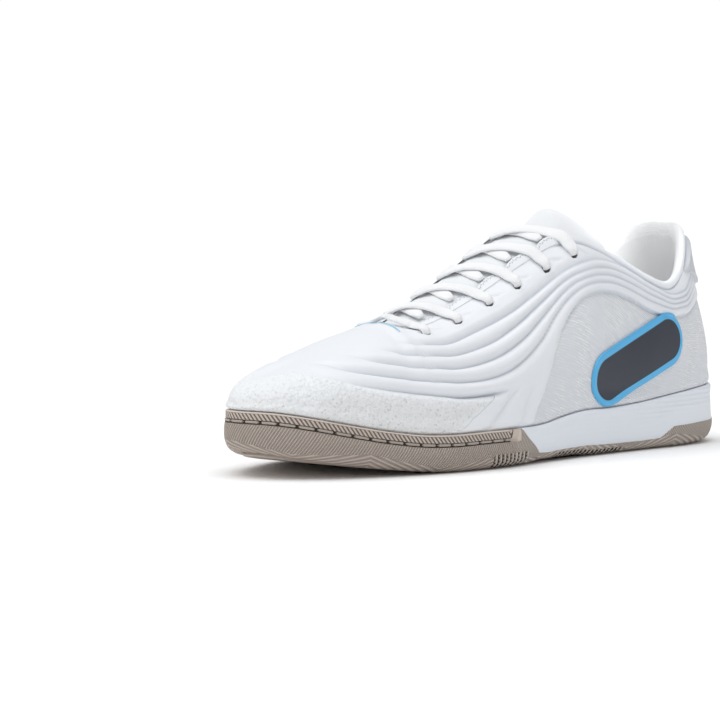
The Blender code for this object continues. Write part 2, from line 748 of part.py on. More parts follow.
def tongue_row(t):
    """Top side of the tongue under the throat at t, from the outer to the inner side."""
    wing = (0.84, 0.90, 0.96)
    if t >= THROAT_FRONT:
        wing = (0.84, 0.88, 0.92, 0.96)
    clear = 3 * FIT_GAP
    outer = [lining(t, v, clear) for v in wing]
    inner = [lining(2 - t, v, clear) for v in reversed(wing)]
    if t >= THROAT_FRONT:
        return outer + [lining(t, 1.0, clear)] + inner
    sink = mean_normal(t) * -(wall(t, 1.0) + clear)
    rise = (TONGUE_CROWN + UPPER_WALL) * (1 - blend(0.62, 0.70, t))
    middle_points = [throat_span(t, share, rise) + sink for share in (-0.72, 0.0, 0.72)]
    return outer + middle_points + inner


def make_tongue(material):
    """The padded tongue, under the throat and out at the collar."""
    rows = [tongue_row(t) for t in (0.74, 0.72, 0.70, 0.66, 0.62, 0.57, 0.52, 0.47, 0.44)]
    for x, z, half, drop, lean in TONGUE_TOP:
        y0 = middle(x * LENGTH)
        row = []
        for s in (-1, -0.75, -0.5, -0.25, 0, 0.25, 0.5, 0.75, 1):
            row.append(Vector((
                x * LENGTH - lean * s * s,
                y0 - s * half * HEEL_WIDTH / 2,
                z * INSTEP_HEIGHT - drop * s * s,
            )))
        rows.append(row)
    low_rows = []
    last = len(rows) - 1
    for i, row in enumerate(rows):
        before, after = rows[max(0, i - 1)], rows[min(last, i + 1)]
        low = []
        for j in range(len(row)):
            along = after[j] - before[j]
            across = row[min(len(row) - 1, j + 1)] - row[max(0, j - 1)]
            depth = TONGUE_THICKNESS * (0.55 if j in (0, len(row) - 1) or i in (0, last) else 1.0)
            low.append(row[j] - along.cross(across).normalized() * depth)
        low_rows.append(low)
    bm = bmesh.new()
    slab(bm, [row[::-1] for row in rows], [row[::-1] for row in low_rows])
    return new_object("tongue", bm, material)


def overlay(name, rows, thickness, material):
    """A thin solid on the upper's outer surface; rows hold (u, v) from low to high v."""
    bm = bmesh.new()

    def lifted(u, v, height):
        return base(u, v) + normal(u, v) * (height + max(relief(u, v), 0.0))

    low = [[lifted(u, v, FIT_GAP) for u, v in row] for row in rows]
    top = [[lifted(u, v, FIT_GAP + thickness) for u, v in row] for row in rows]
    slab(bm, top, low)
    return new_object(name, bm, material)


def make_heel_tab(material):
    """The tab on the back of the heel, under the collar's highest point."""
    spans = [TAB_REACH * k / 8 for k in range(-8, 9)]
    rows = []
    for k in range(6):
        row = []
        for u in spans:
            low = TAB_FOOT + TAB_SIDE_RISE * (u / TAB_REACH) ** 2
            row.append((u % 2.0, low + (1.0 - low) * k / 5))
        rows.append(row[::-1])
    return overlay("heel_tab", rows, TAB_THICKNESS, material)


def locate(x, z):
    """The place (u, v) on the outer side at which the upper's base surface is at x and z."""
    u, v = 0.06 + x / LENGTH, z / INSTEP_HEIGHT
    step = 1e-3
    for _ in range(8):
        here = base(u, v)
        by_u = (base(u + step, v) - here) / step
        by_v = (base(u, v + step) - here) / step
        miss_x, miss_z = x - here.x, z - here.z
        scale = by_u.x * by_v.z - by_v.x * by_u.z
        u += (miss_x * by_v.z - by_v.x * miss_z) / scale
        v += (by_u.x * miss_z - miss_x * by_u.z) / scale
    return u, v


def make_side_panel(material):
    """A plain bar with round ends on the outer side of the heel quarter, its heel end higher."""
    radius = PANEL_HEIGHT / 2
    straight = PANEL_LENGTH / 2 - radius
    tilt = math.radians(PANEL_TILT)
    rows = []
    for k in range(9):
        angle = math.pi * k / 8
        across = -radius * math.cos(angle)
        reach = straight + radius * max(0.05, math.sin(angle))
        row = []
        for j in range(9):
            along = reach * (j / 4 - 1)
            x = PANEL_MIDDLE * LENGTH + along * math.cos(tilt) + across * math.sin(tilt)
            z = SIDEWALL_HEIGHT + PANEL_RISE - along * math.sin(tilt) + across * math.cos(tilt)
            row.append(locate(x, z))
        rows.append(row[::-1])
    return overlay("side_panel", rows, PANEL_THICKNESS, material)


def make_eyelet_cutter():
    """Twelve round pins that cut the eyelets."""
    bm = bmesh.new()
    for t, v in EYELETS:
        for u in (t, 2 - t):
            place = base(u, v)
            turn = normal(u, v).to_track_quat("Z", "Y").to_matrix().to_4x4()
            turn.translation = place
            bmesh.ops.create_cone(
                bm, cap_ends=True, segments=8, radius1=EYELET_DIAMETER / 2,
                radius2=EYELET_DIAMETER / 2, depth=UPPER_WALL * 4, matrix=turn,
            )
    return as_cutter(new_object("eyelet_cutter", bm, None))


def add_lace(bm, points, ups):
    """Adds a flat oval cord along points; ups point out of the shoe."""
    sides = 8
    rings = []
    last = len(points) - 1
    for i, (point, up) in enumerate(zip(points, ups)):
        along = (points[min(last, i + 1)] - points[max(0, i - 1)]).normalized()
        across = along.cross(up).normalized()
        lift = across.cross(along)
        width = LACE_WIDTH / 2 * (0.62 if i in (0, last) else 1.0)
        ring = []
        for k in range(sides):
            angle = 2 * math.pi * (k + 0.5) / sides
            place = point + across * (width * math.cos(angle)) + lift * (LACE_THICKNESS / 2 * math.sin(angle))
            ring.append(bm.verts.new(place))
        rings.append(ring)
    for a, b in zip(rings, rings[1:]):
        for k in range(sides):
            j = (k + 1) % sides
            bm.faces.new([a[k], b[k], b[j], a[j]])
    bm.faces.new(rings[0])
    bm.faces.new(rings[-1][::-1])


def lace_path(start, end, side, lift):
    """Points of a lace from inside the throat at start, across, to the eyelet end on side."""
    (t0, s0), (t1, v1) = start, end
    points = []
    ups = []
    steps = 7
    for i in range(steps):
        part = i / (steps - 1)
        share = s0 + (1.0 - s0) * part
        t = t0 + (t1 - t0) * part * 0.85
        up = mean_normal(t)
        edge = blend(0.55, 1.0, abs(share))
        rise = LACE_RISE + lift * (1 - part) * part * 4
        point = throat_span(t, -share * side, TONGUE_CROWN)
        out = normal(t if side * share > 0 else 2 - t, 1.0)
        up = (up * (1 - edge) + out * edge).normalized()
        points.append(point + up * rise)
        ups.append(up)
    u1 = t1 if side > 0 else 2 - t1
    for v in (0.95, v1 + 0.02, v1 - 0.015):
        part = (1.0 - v) / (1.0 - v1)
        u = t0 + (t1 - t0) * (0.85 + 0.15 * part)
        u = u if side > 0 else 2 - u
        out = normal(u, v)
        points.append(base(u, v) + out * (max(relief(u, v), 0.0) + LACE_THICKNESS / 2 + 3 * FIT_GAP))
        ups.append(out)
    return points, ups


def make_laces(material):
    """The front bar and the crossings, each one joined solid over tongue and upper."""
    made = []
    t, v = EYELETS[0]
    bm = bmesh.new()
    outer = lace_path((t, 0.0), (t, v), 1, 0.0)
    inner = lace_path((t, 0.0), (t, v), -1, 0.0)
    add_lace(bm, inner[0][:0:-1] + outer[0], inner[1][:0:-1] + outer[1])
    made.append(new_object("lace_bar", bm, material))
    for k, (low, high) in enumerate(zip(EYELETS, EYELETS[1:])):
        bands = []
        for side in (1, -1):
            bm = bmesh.new()
            start = low[0] - 0.4 * (low[0] - high[0])
            add_lace(bm, *lace_path((start, -0.8), high, side, LACE_THICKNESS * 0.3))
            name = f"lace_crossing_{k + 1}" if side > 0 else f"lace_under_{k + 1}"
            bands.append(new_object(name, bm, material))
        cut(bands[0], as_cutter(bands[1]), "UNION")
        made.append(bands[0])
    return made


def place_on_floor(objects):
    """Puts the middle of the shoe's footprint at the origin, with the floor at z = 0."""
    corners = [v.co for found in objects for v in found.data.vertices]
    low = Vector([min(c[i] for c in corners) for i in range(3)])
    high = Vector([max(c[i] for c in corners) for i in range(3)])
    shoe = bpy.data.objects.new("shoe", None)
    bpy.context.collection.objects.link(shoe)
    shoe.location = (-(low.x + high.x) / 2, -(low.y + high.y) / 2, -low.z)
    for found in bpy.data.objects:
        if found is not shoe:
            found.parent = shoe


def main():
    """Builds the shoe."""
    for found in list(bpy.data.objects):
        bpy.data.objects.remove(found)
    white = new_material("white leather", (0.80, 0.82, 0.84), 0.45)
    foam = new_material("white foam", (0.78, 0.81, 0.84), 0.55)
    rubber_finish = new_material("taupe rubber", (0.45, 0.37, 0.33), 0.6)
    knit = new_material("grey knit", (0.62, 0.64, 0.66), 0.9)
    cord = new_material("white cord", (0.82, 0.84, 0.86), 0.8)
    navy = new_material("navy film", (0.03, 0.035, 0.05), 0.4)
    outsole, midsole = make_sole(rubber_finish, foam)
    upper = make_upper(white)
    cut(upper, make_eyelet_cutter(), "DIFFERENCE")
    pieces = [outsole, midsole, upper, make_insole(knit), make_tongue(knit)]
    pieces += [make_heel_tab(white), make_side_panel(navy)]
    pieces += make_laces(cord)
    place_on_floor(pieces)


main()
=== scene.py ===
"""Detailed pieces and finishes of an indoor football shoe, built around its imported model.

Metres, +Z up, +X to the toe, +Y to the outer side of this left shoe. A place on the upper is
(u, v): u runs once around the shoe, 0 at the heel and 1 at the toe with the outer side first,
and v goes up the rib that stands there, 0 at the rim of the sole and 1 at the top line.
"""
import logging
import math
from dataclasses import dataclass, field
from enum import Enum
from typing import Callable, Optional, Sequence, Union

import bmesh
import bpy
import numpy as np
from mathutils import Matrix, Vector


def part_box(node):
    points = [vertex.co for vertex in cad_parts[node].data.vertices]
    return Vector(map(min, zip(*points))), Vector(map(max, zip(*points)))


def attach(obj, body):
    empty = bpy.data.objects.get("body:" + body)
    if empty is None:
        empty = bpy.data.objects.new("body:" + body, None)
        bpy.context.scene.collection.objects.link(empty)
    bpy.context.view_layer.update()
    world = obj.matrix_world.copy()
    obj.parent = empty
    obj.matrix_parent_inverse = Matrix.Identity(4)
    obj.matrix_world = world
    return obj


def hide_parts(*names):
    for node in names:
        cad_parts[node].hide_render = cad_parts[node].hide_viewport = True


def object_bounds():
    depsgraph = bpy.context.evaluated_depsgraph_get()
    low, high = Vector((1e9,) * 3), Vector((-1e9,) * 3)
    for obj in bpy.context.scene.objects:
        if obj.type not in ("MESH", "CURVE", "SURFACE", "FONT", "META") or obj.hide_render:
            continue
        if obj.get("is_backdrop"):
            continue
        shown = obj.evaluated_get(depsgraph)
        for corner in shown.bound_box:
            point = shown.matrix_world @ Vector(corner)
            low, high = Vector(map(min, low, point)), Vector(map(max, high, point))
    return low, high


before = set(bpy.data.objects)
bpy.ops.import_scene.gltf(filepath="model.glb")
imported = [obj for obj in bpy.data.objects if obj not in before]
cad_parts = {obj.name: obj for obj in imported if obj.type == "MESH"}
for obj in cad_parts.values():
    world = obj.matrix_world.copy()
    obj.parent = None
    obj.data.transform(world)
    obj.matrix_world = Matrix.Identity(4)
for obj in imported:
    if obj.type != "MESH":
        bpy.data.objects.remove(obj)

Array = np.ndarray
Socket = bpy.types.NodeSocket
Level = Union[float, Socket]
Colour = tuple[float, float, float]

LOG = logging.getLogger("shoe")
CAD_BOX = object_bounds()
BODY = "root"

# Outline of the sole at its widest. Columns: u, x of the outer side as a share of the length,
# y of the outer side as a share of the local half width, x and y of the inner side.
OUTLINE = (
    (0.00, 0.000, 0.00, 0.000, 0.00),
    (0.05, 0.012, 0.42, 0.012, 0.42),
    (0.11, 0.050, 0.78, 0.050, 0.78),
    (0.19, 0.125, 1.00, 0.125, 0.985),
    (0.28, 0.225, 1.06, 0.215, 0.985),
    (0.37, 0.330, 1.05, 0.310, 0.88),
    (0.46, 0.440, 0.98, 0.420, 0.74),
    (0.54, 0.540, 0.975, 0.530, 0.75),
    (0.62, 0.635, 1.02, 0.625, 0.865),
    (0.69, 0.720, 1.01, 0.705, 0.98),
    (0.76, 0.800, 0.918, 0.783, 0.965),
    (0.83, 0.885, 0.745, 0.860, 0.79),
    (0.90, 0.953, 0.520, 0.930, 0.575),
    (0.95, 0.989, 0.265, 0.976, 0.33),
    (1.00, 1.000, -0.103, 1.000, 0.103),
)
# Top edge of the sole's side wall. Columns: u, its height and the height of its rubber, as
# shares of the side wall's height.
SIDE = (
    (0.000, 0.980, 0.405),
    (0.165, 0.944, 0.380),
    (0.240, 0.875, 0.355),
    (0.268, 0.840, 0.180),
    (0.310, 0.792, 0.165),
    (0.370, 0.755, 0.170),
    (0.430, 0.750, 0.190),
    (0.480, 0.680, 0.180),
    (0.512, 0.622, 0.160),
    (0.532, 0.608, 0.180),
    (0.573, 0.604, 0.604),
    (0.640, 0.606, 1.500),
    (0.706, 0.600, 1.500),
    (0.748, 0.626, 1.500),
    (0.790, 0.700, 1.500),
    (0.836, 0.811, 1.500),
    (0.888, 0.930, 1.500),
    (0.937, 1.015, 1.500),
    (1.000, 1.037, 1.500),
)
# The top line: collar, throat and the vamp's middle line. Columns: u, x as a share of the
# length, height as a share of the local height, and the opening's half width on each side.
TOP = (
    (0.00, 0.0550, 1.000, 0.00, 0.00),
    (0.05, 0.0590, 1.000, 0.23, 0.23),
    (0.10, 0.0750, 0.980, 0.45, 0.45),
    (0.15, 0.1010, 0.915, 0.66, 0.66),
    (0.20, 0.1340, 0.806, 0.83, 0.83),
    (0.25, 0.1730, 0.746, 0.91, 0.91),
    (0.30, 0.2190, 0.790, 0.895, 0.895),
    (0.35, 0.2740, 0.885, 0.805, 0.805),
    (0.39, 0.3220, 0.960, 0.700, 0.700),
    (0.43, 0.3620, 0.998, 0.590, 0.620),
    (0.46, 0.3920, 0.980, 0.480, 0.600),
    (0.51, 0.4550, 0.895, 0.400, 0.570),
    (0.57, 0.5240, 0.795, 0.370, 0.540),
    (0.63, 0.5965, 0.698, 0.340, 0.500),
    (0.68, 0.6580, 0.632, 0.310, 0.420),
    (0.705, 0.6880, 0.619, 0.240, 0.300),
    (0.72, 0.7000, 0.632, 0.00, 0.00),
    (0.76, 0.7280, 0.607, 0.00, 0.00),
    (0.81, 0.7660, 0.578, 0.00, 0.00),
    (0.86, 0.8060, 0.546, 0.00, 0.00),
    (0.91, 0.8480, 0.510, 0.00, 0.00),
    (0.96, 0.8830, 0.478, 0.00, 0.00),
    (1.00, 0.9030, 0.456, 0.00, 0.00),
)
# How a rib leaves the rim and reaches the top line. Columns: u, then for the outer and for the
# inner side the shares of its chord outward and up at the rim, and outward and down at the top.
FULLNESS = (
    (0.00, (0.06, 0.34, 0.02, 0.34), (0.06, 0.34, 0.02, 0.34)),
    (0.15, (0.06, 0.34, 0.03, 0.34), (0.06, 0.34, 0.03, 0.34)),
    (0.30, (0.07, 0.34, 0.08, 0.30), (0.02, 0.34, 0.10, 0.30)),
    (0.43, (0.07, 0.34, 0.18, 0.28), (-0.02, 0.34, 0.22, 0.24)),
    (0.56, (0.05, 0.34, 0.30, 0.20), (0.02, 0.34, 0.28, 0.18)),
    (0.68, (0.04, 0.34, 0.36, 0.12), (0.04, 0.36, 0.34, 0.10)),
    (0.76, (0.04, 0.34, 0.38, 0.00), (0.04, 0.36, 0.38, 0.00)),
    (0.88, (0.05, 0.34, 0.38, 0.00), (0.05, 0.34, 0.38, 0.00)),
    (1.00, (0.06, 0.34, 0.40, 0.00), (0.06, 0.34, 0.40, 0.00)),
)
# The valleys between the rolls of the upper. Columns: u, then the place on the rib of the edge
# of the heel quarter or of the toe cap, and of the four valleys above it.
VALLEYS = (
    (0.00, 0.600, 0.660, 0.705, 0.750, 0.800),
    (0.12, 0.600, 0.665, 0.712, 0.758, 0.808),
    (0.19, 0.627, 0.695, 0.740, 0.783, 0.828),
    (0.235, 0.695, 0.770, 0.812, 0.857, 0.898),
    (0.275, 0.711, 0.797, 0.848, 0.893, 0.948),
    (0.31, 0.712, 0.790, 0.844, 0.896, 0.960),
    (0.34, 0.722, 0.788, 0.840, 0.892, 0.955),
    (0.37, 0.717, 0.777, 0.825, 0.874, 0.930),
    (0.40, 0.688, 0.742, 0.788, 0.833, 0.886),
    (0.43, 0.647, 0.704, 0.745, 0.787, 0.838),
    (0.455, 0.604, 0.671, 0.720, 0.766, 0.816),
    (0.48, 0.520, 0.631, 0.687, 0.745, 0.800),
    (0.50, 0.440, 0.583, 0.655, 0.724, 0.787),
    (0.525, 0.360, 0.500, 0.610, 0.698, 0.772),
    (0.55, 0.290, 0.440, 0.565, 0.672, 0.760),
    (0.58, 0.255, 0.390, 0.526, 0.645, 0.752),
    (0.61, 0.248, 0.366, 0.500, 0.620, 0.750),
    (0.64, 0.252, 0.364, 0.492, 0.613, 0.745),
    (0.67, 0.265, 0.380, 0.498, 0.616, 0.735),
    (0.75, 0.286, 0.390, 0.500, 0.612, 0.720),
    (0.80, 0.307, 0.430, 0.560, 0.680, 0.800),
    (0.85, 0.352, 0.510, 0.680, 0.800, 0.880),
    (0.91, 0.500, 0.700, 0.790, 0.860, 0.920),
    (0.95, 0.600, 0.750, 0.820, 0.880, 0.940),
    (1.00, 0.600, 0.750, 0.820, 0.880, 0.940),
)
# Where each of the four upper valleys runs out on its way to the toe, as two values of u.
VALLEY_ENDS = ((0.84, 0.92), (0.78, 0.86), (0.73, 0.80), (0.69, 0.76))
# The edge line is a valley only behind and in front of the quarter's front edge, up to the toe.
EDGE_STOP = (0.46, 0.50)
EDGE_START = (0.585, 0.630)
EDGE_END = (0.74, 0.90)
# The front edge of the heel quarter. Columns: u and the place on the rib.
QUARTER_FRONT = (
    (0.40, 0.688),
    (0.43, 0.647),
    (0.455, 0.604),
    (0.475, 0.551),
    (0.492, 0.480),
    (0.504, 0.390),
    (0.514, 0.275),
    (0.527, 0.157),
    (0.540, 0.070),
    (0.549, 0.000),
    (0.560, -0.200),
)
# Short creases of the upper above the rim. Columns: metres around from the heel, half width,
# lean and depth.
CREASES = (
    (0.1815, 0.0026, 1.06, 0.0017),
    (0.1700, 0.0022, 0.46, 0.0013),
)
# Eyelets, from the toe back. Columns: u and the place on the rib, alike on both sides.
EYELETS = (
    (0.694, 0.865),
    (0.643, 0.875),
    (0.590, 0.885),
    (0.538, 0.885),
    (0.487, 0.880),
    (0.440, 0.900),
)
# The tongue above the throat. Columns: x as a share of the length, height as a share of the
# instep's, half width as a share of half the heel's, then the edges' drop and lean to the heel.
TONGUE_TOP = (
    (0.362, 1.072, 0.60, 0.0110, 0.0060),
    (0.350, 1.118, 0.72, 0.0170, 0.0130),
    (0.340, 1.140, 0.72, 0.0200, 0.0170),
)
THROAT_FRONT = 0.72
# Metres from tooth to tooth at the sole's lower edge, and where the painted shade of a slot lies in
# that.
TOOTH_PITCH = 0.0029
TOOTH_START = 0.31


class Slot(Enum):
    """The record's material slots."""

    RUBBER = "taupe_rubber"
    FOAM = "white_foam"
    UPPER = "white_upper"
    KNIT = "grey_knit"
    TONGUE = "tongue_textile"
    LACE = "white_lace"
    FILM = "navy_film"


def ease(low: float, high: float, value: Union[float, Array]) -> Array:
    """Eases from 0 at low to 1 at high.

    Args:
        low: Where the rise begins.
        high: Where it ends; below low, the curve falls instead.
        value: Where it is read.

    Returns:
        Shares from 0 to 1.
    """
    share = np.clip((np.asarray(value, float) - low) / (high - low), 0.0, 1.0)
    return share * share * (3 - 2 * share)


def unit(vectors: Array) -> Array:
    """Scales vectors to length one."""
    return vectors / np.maximum(np.linalg.norm(vectors, axis=-1, keepdims=True), 1e-12)


def stand(plan: Array, height: Array) -> Array:
    """Points from their places in plan and their heights."""
    return np.concatenate([plan, height[:, None]], 1)


def two_faces(share: Array) -> tuple[Array, Array]:
    """Reads a strip's section, which crosses its underside first and comes back on top.

    Args:
        share: Shares of the way around the section.

    Returns:
        Where that is on top, and the share of the way across the strip.
    """
    top = share >= 0.5
    return top, np.where(top, 2 - 2 * share, 2 * share)


def quarter_round(share: Array) -> Array:
    """Climbs from 0 to 1 like a quarter of a circle."""
    share = np.clip(share, 0, 1)
    return np.sqrt(share * (2 - share))


class SmoothTable:
    """A smooth curve through a table's rows, open or closed into a loop."""

    def __init__(self, knots: Sequence[float], values: Sequence, period: float = 0.0) -> None:
        """Finds the tangents at the knots.

        Args:
            knots: Rising places of the rows.
            values: One number or one row of numbers for each knot.
            period: Length of the loop, or 0 for an open curve.
        """
        k, v = np.asarray(knots, float), np.asarray(values, float)
        self.flat = v.ndim == 1
        v = v.reshape(len(k), -1)
        if period:
            k = np.concatenate([[k[-1] - period], k, [k[0] + period, k[1] + period]])
            v = np.concatenate([v[-1:], v, v[:2]])
        gaps = np.diff(k)
        slopes = np.diff(v, axis=0) / gaps[:, None]
        tangents = np.empty_like(v)
        tangents[0], tangents[-1] = slopes[0], slopes[-1]
        weights = (gaps[:-1] + gaps[1:])[:, None]
        tangents[1:-1] = (slopes[:-1] * gaps[1:, None] + slopes[1:] * gaps[:-1, None]) / weights
        self.knots, self.values, self.gaps = k, v, gaps
        self.tangents, self.period = tangents, period

    def at(self, place: Union[float, Array]) -> Array:
        """Reads the curve.

        Args:
            place: Where to read it, of any shape.

        Returns:
            Numbers of that shape, or rows of numbers along a last axis.
        """
        u = np.asarray(place, float)
        if self.period:
            u = np.mod(u, self.period)
        i = np.clip(np.searchsorted(self.knots, u, side="right") - 1, 0, len(self.gaps) - 1)
        h = self.gaps[i][..., None]
        s = (u - self.knots[i])[..., None] / h
        found = (
            self.values[i] * (2 * s**3 - 3 * s**2 + 1)
            + self.tangents[i] * (h * (s**3 - 2 * s**2 + s))
            + self.values[i + 1] * (3 * s**2 - 2 * s**3)
            + self.tangents[i + 1] * (h * (s**3 - s**2))
        )
        return found[..., 0] if self.flat else found


@dataclass
class Last:
    """The shoe's form: the sole's outline and heights, and the ribs of the upper."""

    length: float = 0.290
    ball_width: float = 0.097
    heel_width: float = 0.067
    heel_height: float = 0.0970
    instep_height: float = 0.0950
    side_height: float = 0.0270
    toe_spring: float = 0.0105
    heel_roll: float = 0.0030
    arch_rise: float = 0.0010
    heel_stack: float = 0.0155
    forefoot_stack: float = 0.0095
    rim_wall: float = 0.0027
    foot_tuck: float = 0.0010
    fit_gap: float = 0.0003
    upper_wall: float = 0.0022
    collar_pad: float = 0.0045
    ridge: float = 0.0027
    foot_bulge: float = 0.0009
    collar_seam: float = 0.968
    seam_depth: float = 0.0012
    per_u: float = 0.31
    per_v: float = 0.066
    shift: Array = field(default_factory=lambda: np.zeros(3))

    def __post_init__(self) -> None:
        """Reads the tables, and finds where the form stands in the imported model."""
        outer = [(r[1] * self.length, r[2] * self.half_width(r[1])) for r in OUTLINE]
        inner = [(r[3] * self.length, -r[4] * self.half_width(r[3])) for r in OUTLINE]
        knots = [r[0] for r in OUTLINE] + [2 - r[0] for r in OUTLINE[-2:0:-1]]
        self.outline_curve = SmoothTable(knots, outer + inner[-2:0:-1], 2.0)
        knots = [r[0] for r in FULLNESS] + [2 - r[0] for r in FULLNESS[-2:0:-1]]
        rows = [r[1] for r in FULLNESS] + [r[2] for r in FULLNESS[-2:0:-1]]
        self.fullness_curve = SmoothTable(knots, rows, 2.0)
        self.side_curve = SmoothTable([r[0] for r in SIDE], [r[1] for r in SIDE])
        self.top_curve = SmoothTable([r[0] for r in TOP], [r[1:] for r in TOP])
        self.valley_curve = SmoothTable([r[0] for r in VALLEYS], [r[1:] for r in VALLEYS])
        self.ribs = np.linspace(0.60, 0.82, 221)
        self.rib_lengths, self.bridges = {}, {}
        knots = np.array([0.61, 0.64, 0.67, 0.75, 0.78, 0.81])
        for side in (1, -1):
            u = (self.ribs if side > 0 else 2 - self.ribs)[:, None] + np.zeros(41)
            points = self.base(u, np.linspace(0, 1, 41) + np.zeros_like(u))
            lengths = np.linalg.norm(np.diff(points, axis=1), axis=2).sum(1)
            self.rib_lengths[side] = lengths
            self.bridges[side] = SmoothTable(knots, np.interp(knots, self.ribs, lengths))
        around, _ = self.outline(np.linspace(0, 2, 1601))
        low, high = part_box("outsole")
        self.shift = np.array([
            (low[0] + high[0]) / 2 - self.length / 2,
            (low[1] + high[1]) / 2 - (around[:, 1].min() + around[:, 1].max()) / 2,
            low[2],
        ])

    def half_width(self, share: Union[float, Array]) -> Array:
        """Half of the local width at a share of the length."""
        part = ease(0.25, 0.62, share)
        return (self.heel_width * (1 - part) + self.ball_width * part) / 2

    @staticmethod
    def fold(u: Array) -> tuple[Array, Array]:
        """The share of the way from heel to toe, and the side: 1 outer, -1 inner."""
        u = np.mod(u, 2.0)
        return np.where(u <= 1, u, 2 - u), np.where(u <= 1, 1.0, -1.0)

    def outline(self, u: Array, inset: Union[float, Array] = 0.0) -> tuple[Array, Array]:
        """Points of the sole's outline and their outward directions.

        Args:
            u: Places around the shoe.
            inset: How far the points are moved inward.

        Returns:
            The points and the directions in plan.
        """
        point = self.outline_curve.at(u)
        along = self.outline_curve.at(u + 1e-4) - self.outline_curve.at(u - 1e-4)
        outward = unit(np.stack([-along[..., 1], along[..., 0]], -1))
        return point - outward * np.asarray(inset)[..., None], outward

    def spine(self, u: Array, inset: Union[float, Array]) -> Array:
        """The middle, in plan, between a point of the inset outline and the one across."""
        return (self.outline(u, inset)[0] + self.outline(2 - u, inset)[0]) / 2

    def ground(self, x: Array) -> Array:
        """Height of the sole's underside.

        Args:
            x: Places along the shoe.

        Returns:
            Heights in metres.
        """
        s = x / self.length
        toe = self.toe_spring * np.maximum(0.0, (s - 0.70) / 0.30) ** 1.6
        heel = self.heel_roll * np.maximum(0.0, (0.09 - s) / 0.09) ** 2
        return toe + heel + self.arch_rise * ease(0.36, 0.42, s) * (1 - ease(0.50, 0.56, s))

    def deck(self, x: Array) -> Array:
        """Height of the midsole's top, on which the upper and the insole stand."""
        part = ease(0.30, 0.62, x / self.length)
        return self.ground(x) + self.heel_stack * (1 - part) + self.forefoot_stack * part

    def rim(self, u: Array) -> Array:
        """Height of the top edge of the side wall."""
        return self.side_curve.at(self.fold(u)[0]) * self.side_height

    def rubber_line(self, u: Array) -> Array:
        """Height of the edge between rubber and foam, which passes over the rim in front."""
        table = np.array(SIDE)
        return np.interp(self.fold(u)[0], table[:, 0], table[:, 2]) * self.side_height

    def middle(self, x: Array) -> Array:
        """The y of the shoe's middle line, which swings inward towards the toe."""
        return -0.103 * self.ball_width / 2 * ease(0.62, 1.05, x / self.length)

    def top_point(self, u: Array) -> Array:
        """Points of the top line.

        Args:
            u: Places around the shoe.

        Returns:
            The points.
        """
        t, side = self.fold(u)
        row = self.top_curve.at(t)
        half = np.where(side > 0, row[..., 2], row[..., 3]).clip(0.0) * self.heel_width / 2
        half = np.where(t < THROAT_FRONT - 1e-9, half, 0.0)
        part = ease(0.12, 0.36, row[..., 0])
        height = self.heel_height * (1 - part) + self.instep_height * part
        x = row[..., 0] * self.length
        return np.stack([x, self.middle(x) + side * half, row[..., 1] * height], -1)

    def vamp_slope(self, u: Array) -> Array:
        """Rise of the vamp's middle line per unit of x."""
        t = np.clip(self.fold(u)[0], THROAT_FRONT + 0.0011, 0.9989)
        a, b = self.top_point(t - 1e-3), self.top_point(t + 1e-3)
        return (b[..., 2] - a[..., 2]) / (b[..., 0] - a[..., 0])

    def base(self, u: Array, v: Array) -> Array:
        """Points of the upper's outer surface without its rolls; v below 0 is under the rim.

        Args:
            u, v: Places around the shoe and on the ribs.

        Returns:
            The points.
        """
        u, v = np.broadcast_arrays(np.asarray(u, float), np.asarray(v, float))
        t, _ = self.fold(u)
        plan, outward = self.outline(u, self.rim_wall + self.fit_gap)
        start = np.concatenate([plan, self.rim(u)[..., None]], -1)
        plan, _ = self.outline(u, self.rim_wall + self.foot_tuck + self.fit_gap)
        foot = np.concatenate([plan, (self.deck(plan[..., 0]) + self.fit_gap)[..., None]], -1)
        end = self.top_point(u)
        chord = np.linalg.norm(end - start, axis=-1, keepdims=True)
        full = self.fullness_curve.at(u)
        out = np.concatenate([outward, np.zeros_like(outward[..., :1])], -1)
        lean = out.copy()
        lean[..., 2] = np.where(t >= THROAT_FRONT - 1e-9, outward[..., 0] * self.vamp_slope(u), 0.0)
        up = np.array([0.0, 0.0, 1.0])
        a = start + (out * full[..., 0:1] + up * full[..., 1:2]) * chord
        b = end + (lean * full[..., 2:3] - up * full[..., 3:4]) * chord
        r = np.clip(v, 0, 1)[..., None]
        w = 1 - r
        above = start * w**3 + a * (3 * w * w * r) + b * (3 * w * r * r) + end * r**3
        below = start + (foot - start) * (-v)[..., None]
        return np.where(v[..., None] < 0, below, above)

    def normal(self, u: Array, v: Array) -> Array:
        """The outward directions of the upper's surface.

        Args:
            u, v: Places around the shoe and on the ribs.

        Returns:
            Unit vectors.
        """
        u, v = np.broadcast_arrays(np.asarray(u, float), np.asarray(v, float))
        step = 2e-3
        v = np.maximum(v, 0.0)
        low = np.where(v + step <= 1, v, v - step)
        along = self.base(u + step, v) - self.base(u - step, v)
        up = self.base(u, low + step) - self.base(u, low)
        found = unit(np.cross(up, along))
        slope = self.vamp_slope(u)
        vamp = unit(np.stack([-slope, np.zeros_like(slope), np.ones_like(slope)], -1))
        t, _ = self.fold(u)
        on_line = (t >= THROAT_FRONT - 1e-9) & (v > 0.995)
        return np.where(on_line[..., None], vamp, found)

    def valleys(self, u: Array) -> Array:
        """Places of the valleys on the ribs, which run on evenly past the throat's front.

        Args:
            u: Places around the shoe.

        Returns:
            One row of five places for each u.
        """
        t, way = self.fold(u)
        lines = self.valley_curve.at(t)
        near = np.clip(t, 0.67, 0.75)
        scale = np.ones_like(t)
        for side in (1, -1):
            ratio = self.bridges[side].at(near) / np.interp(near, self.ribs, self.rib_lengths[side])
            scale = np.where((way == side) & (t > 0.67) & (t < 0.75), ratio, scale)
        return lines * scale[..., None]

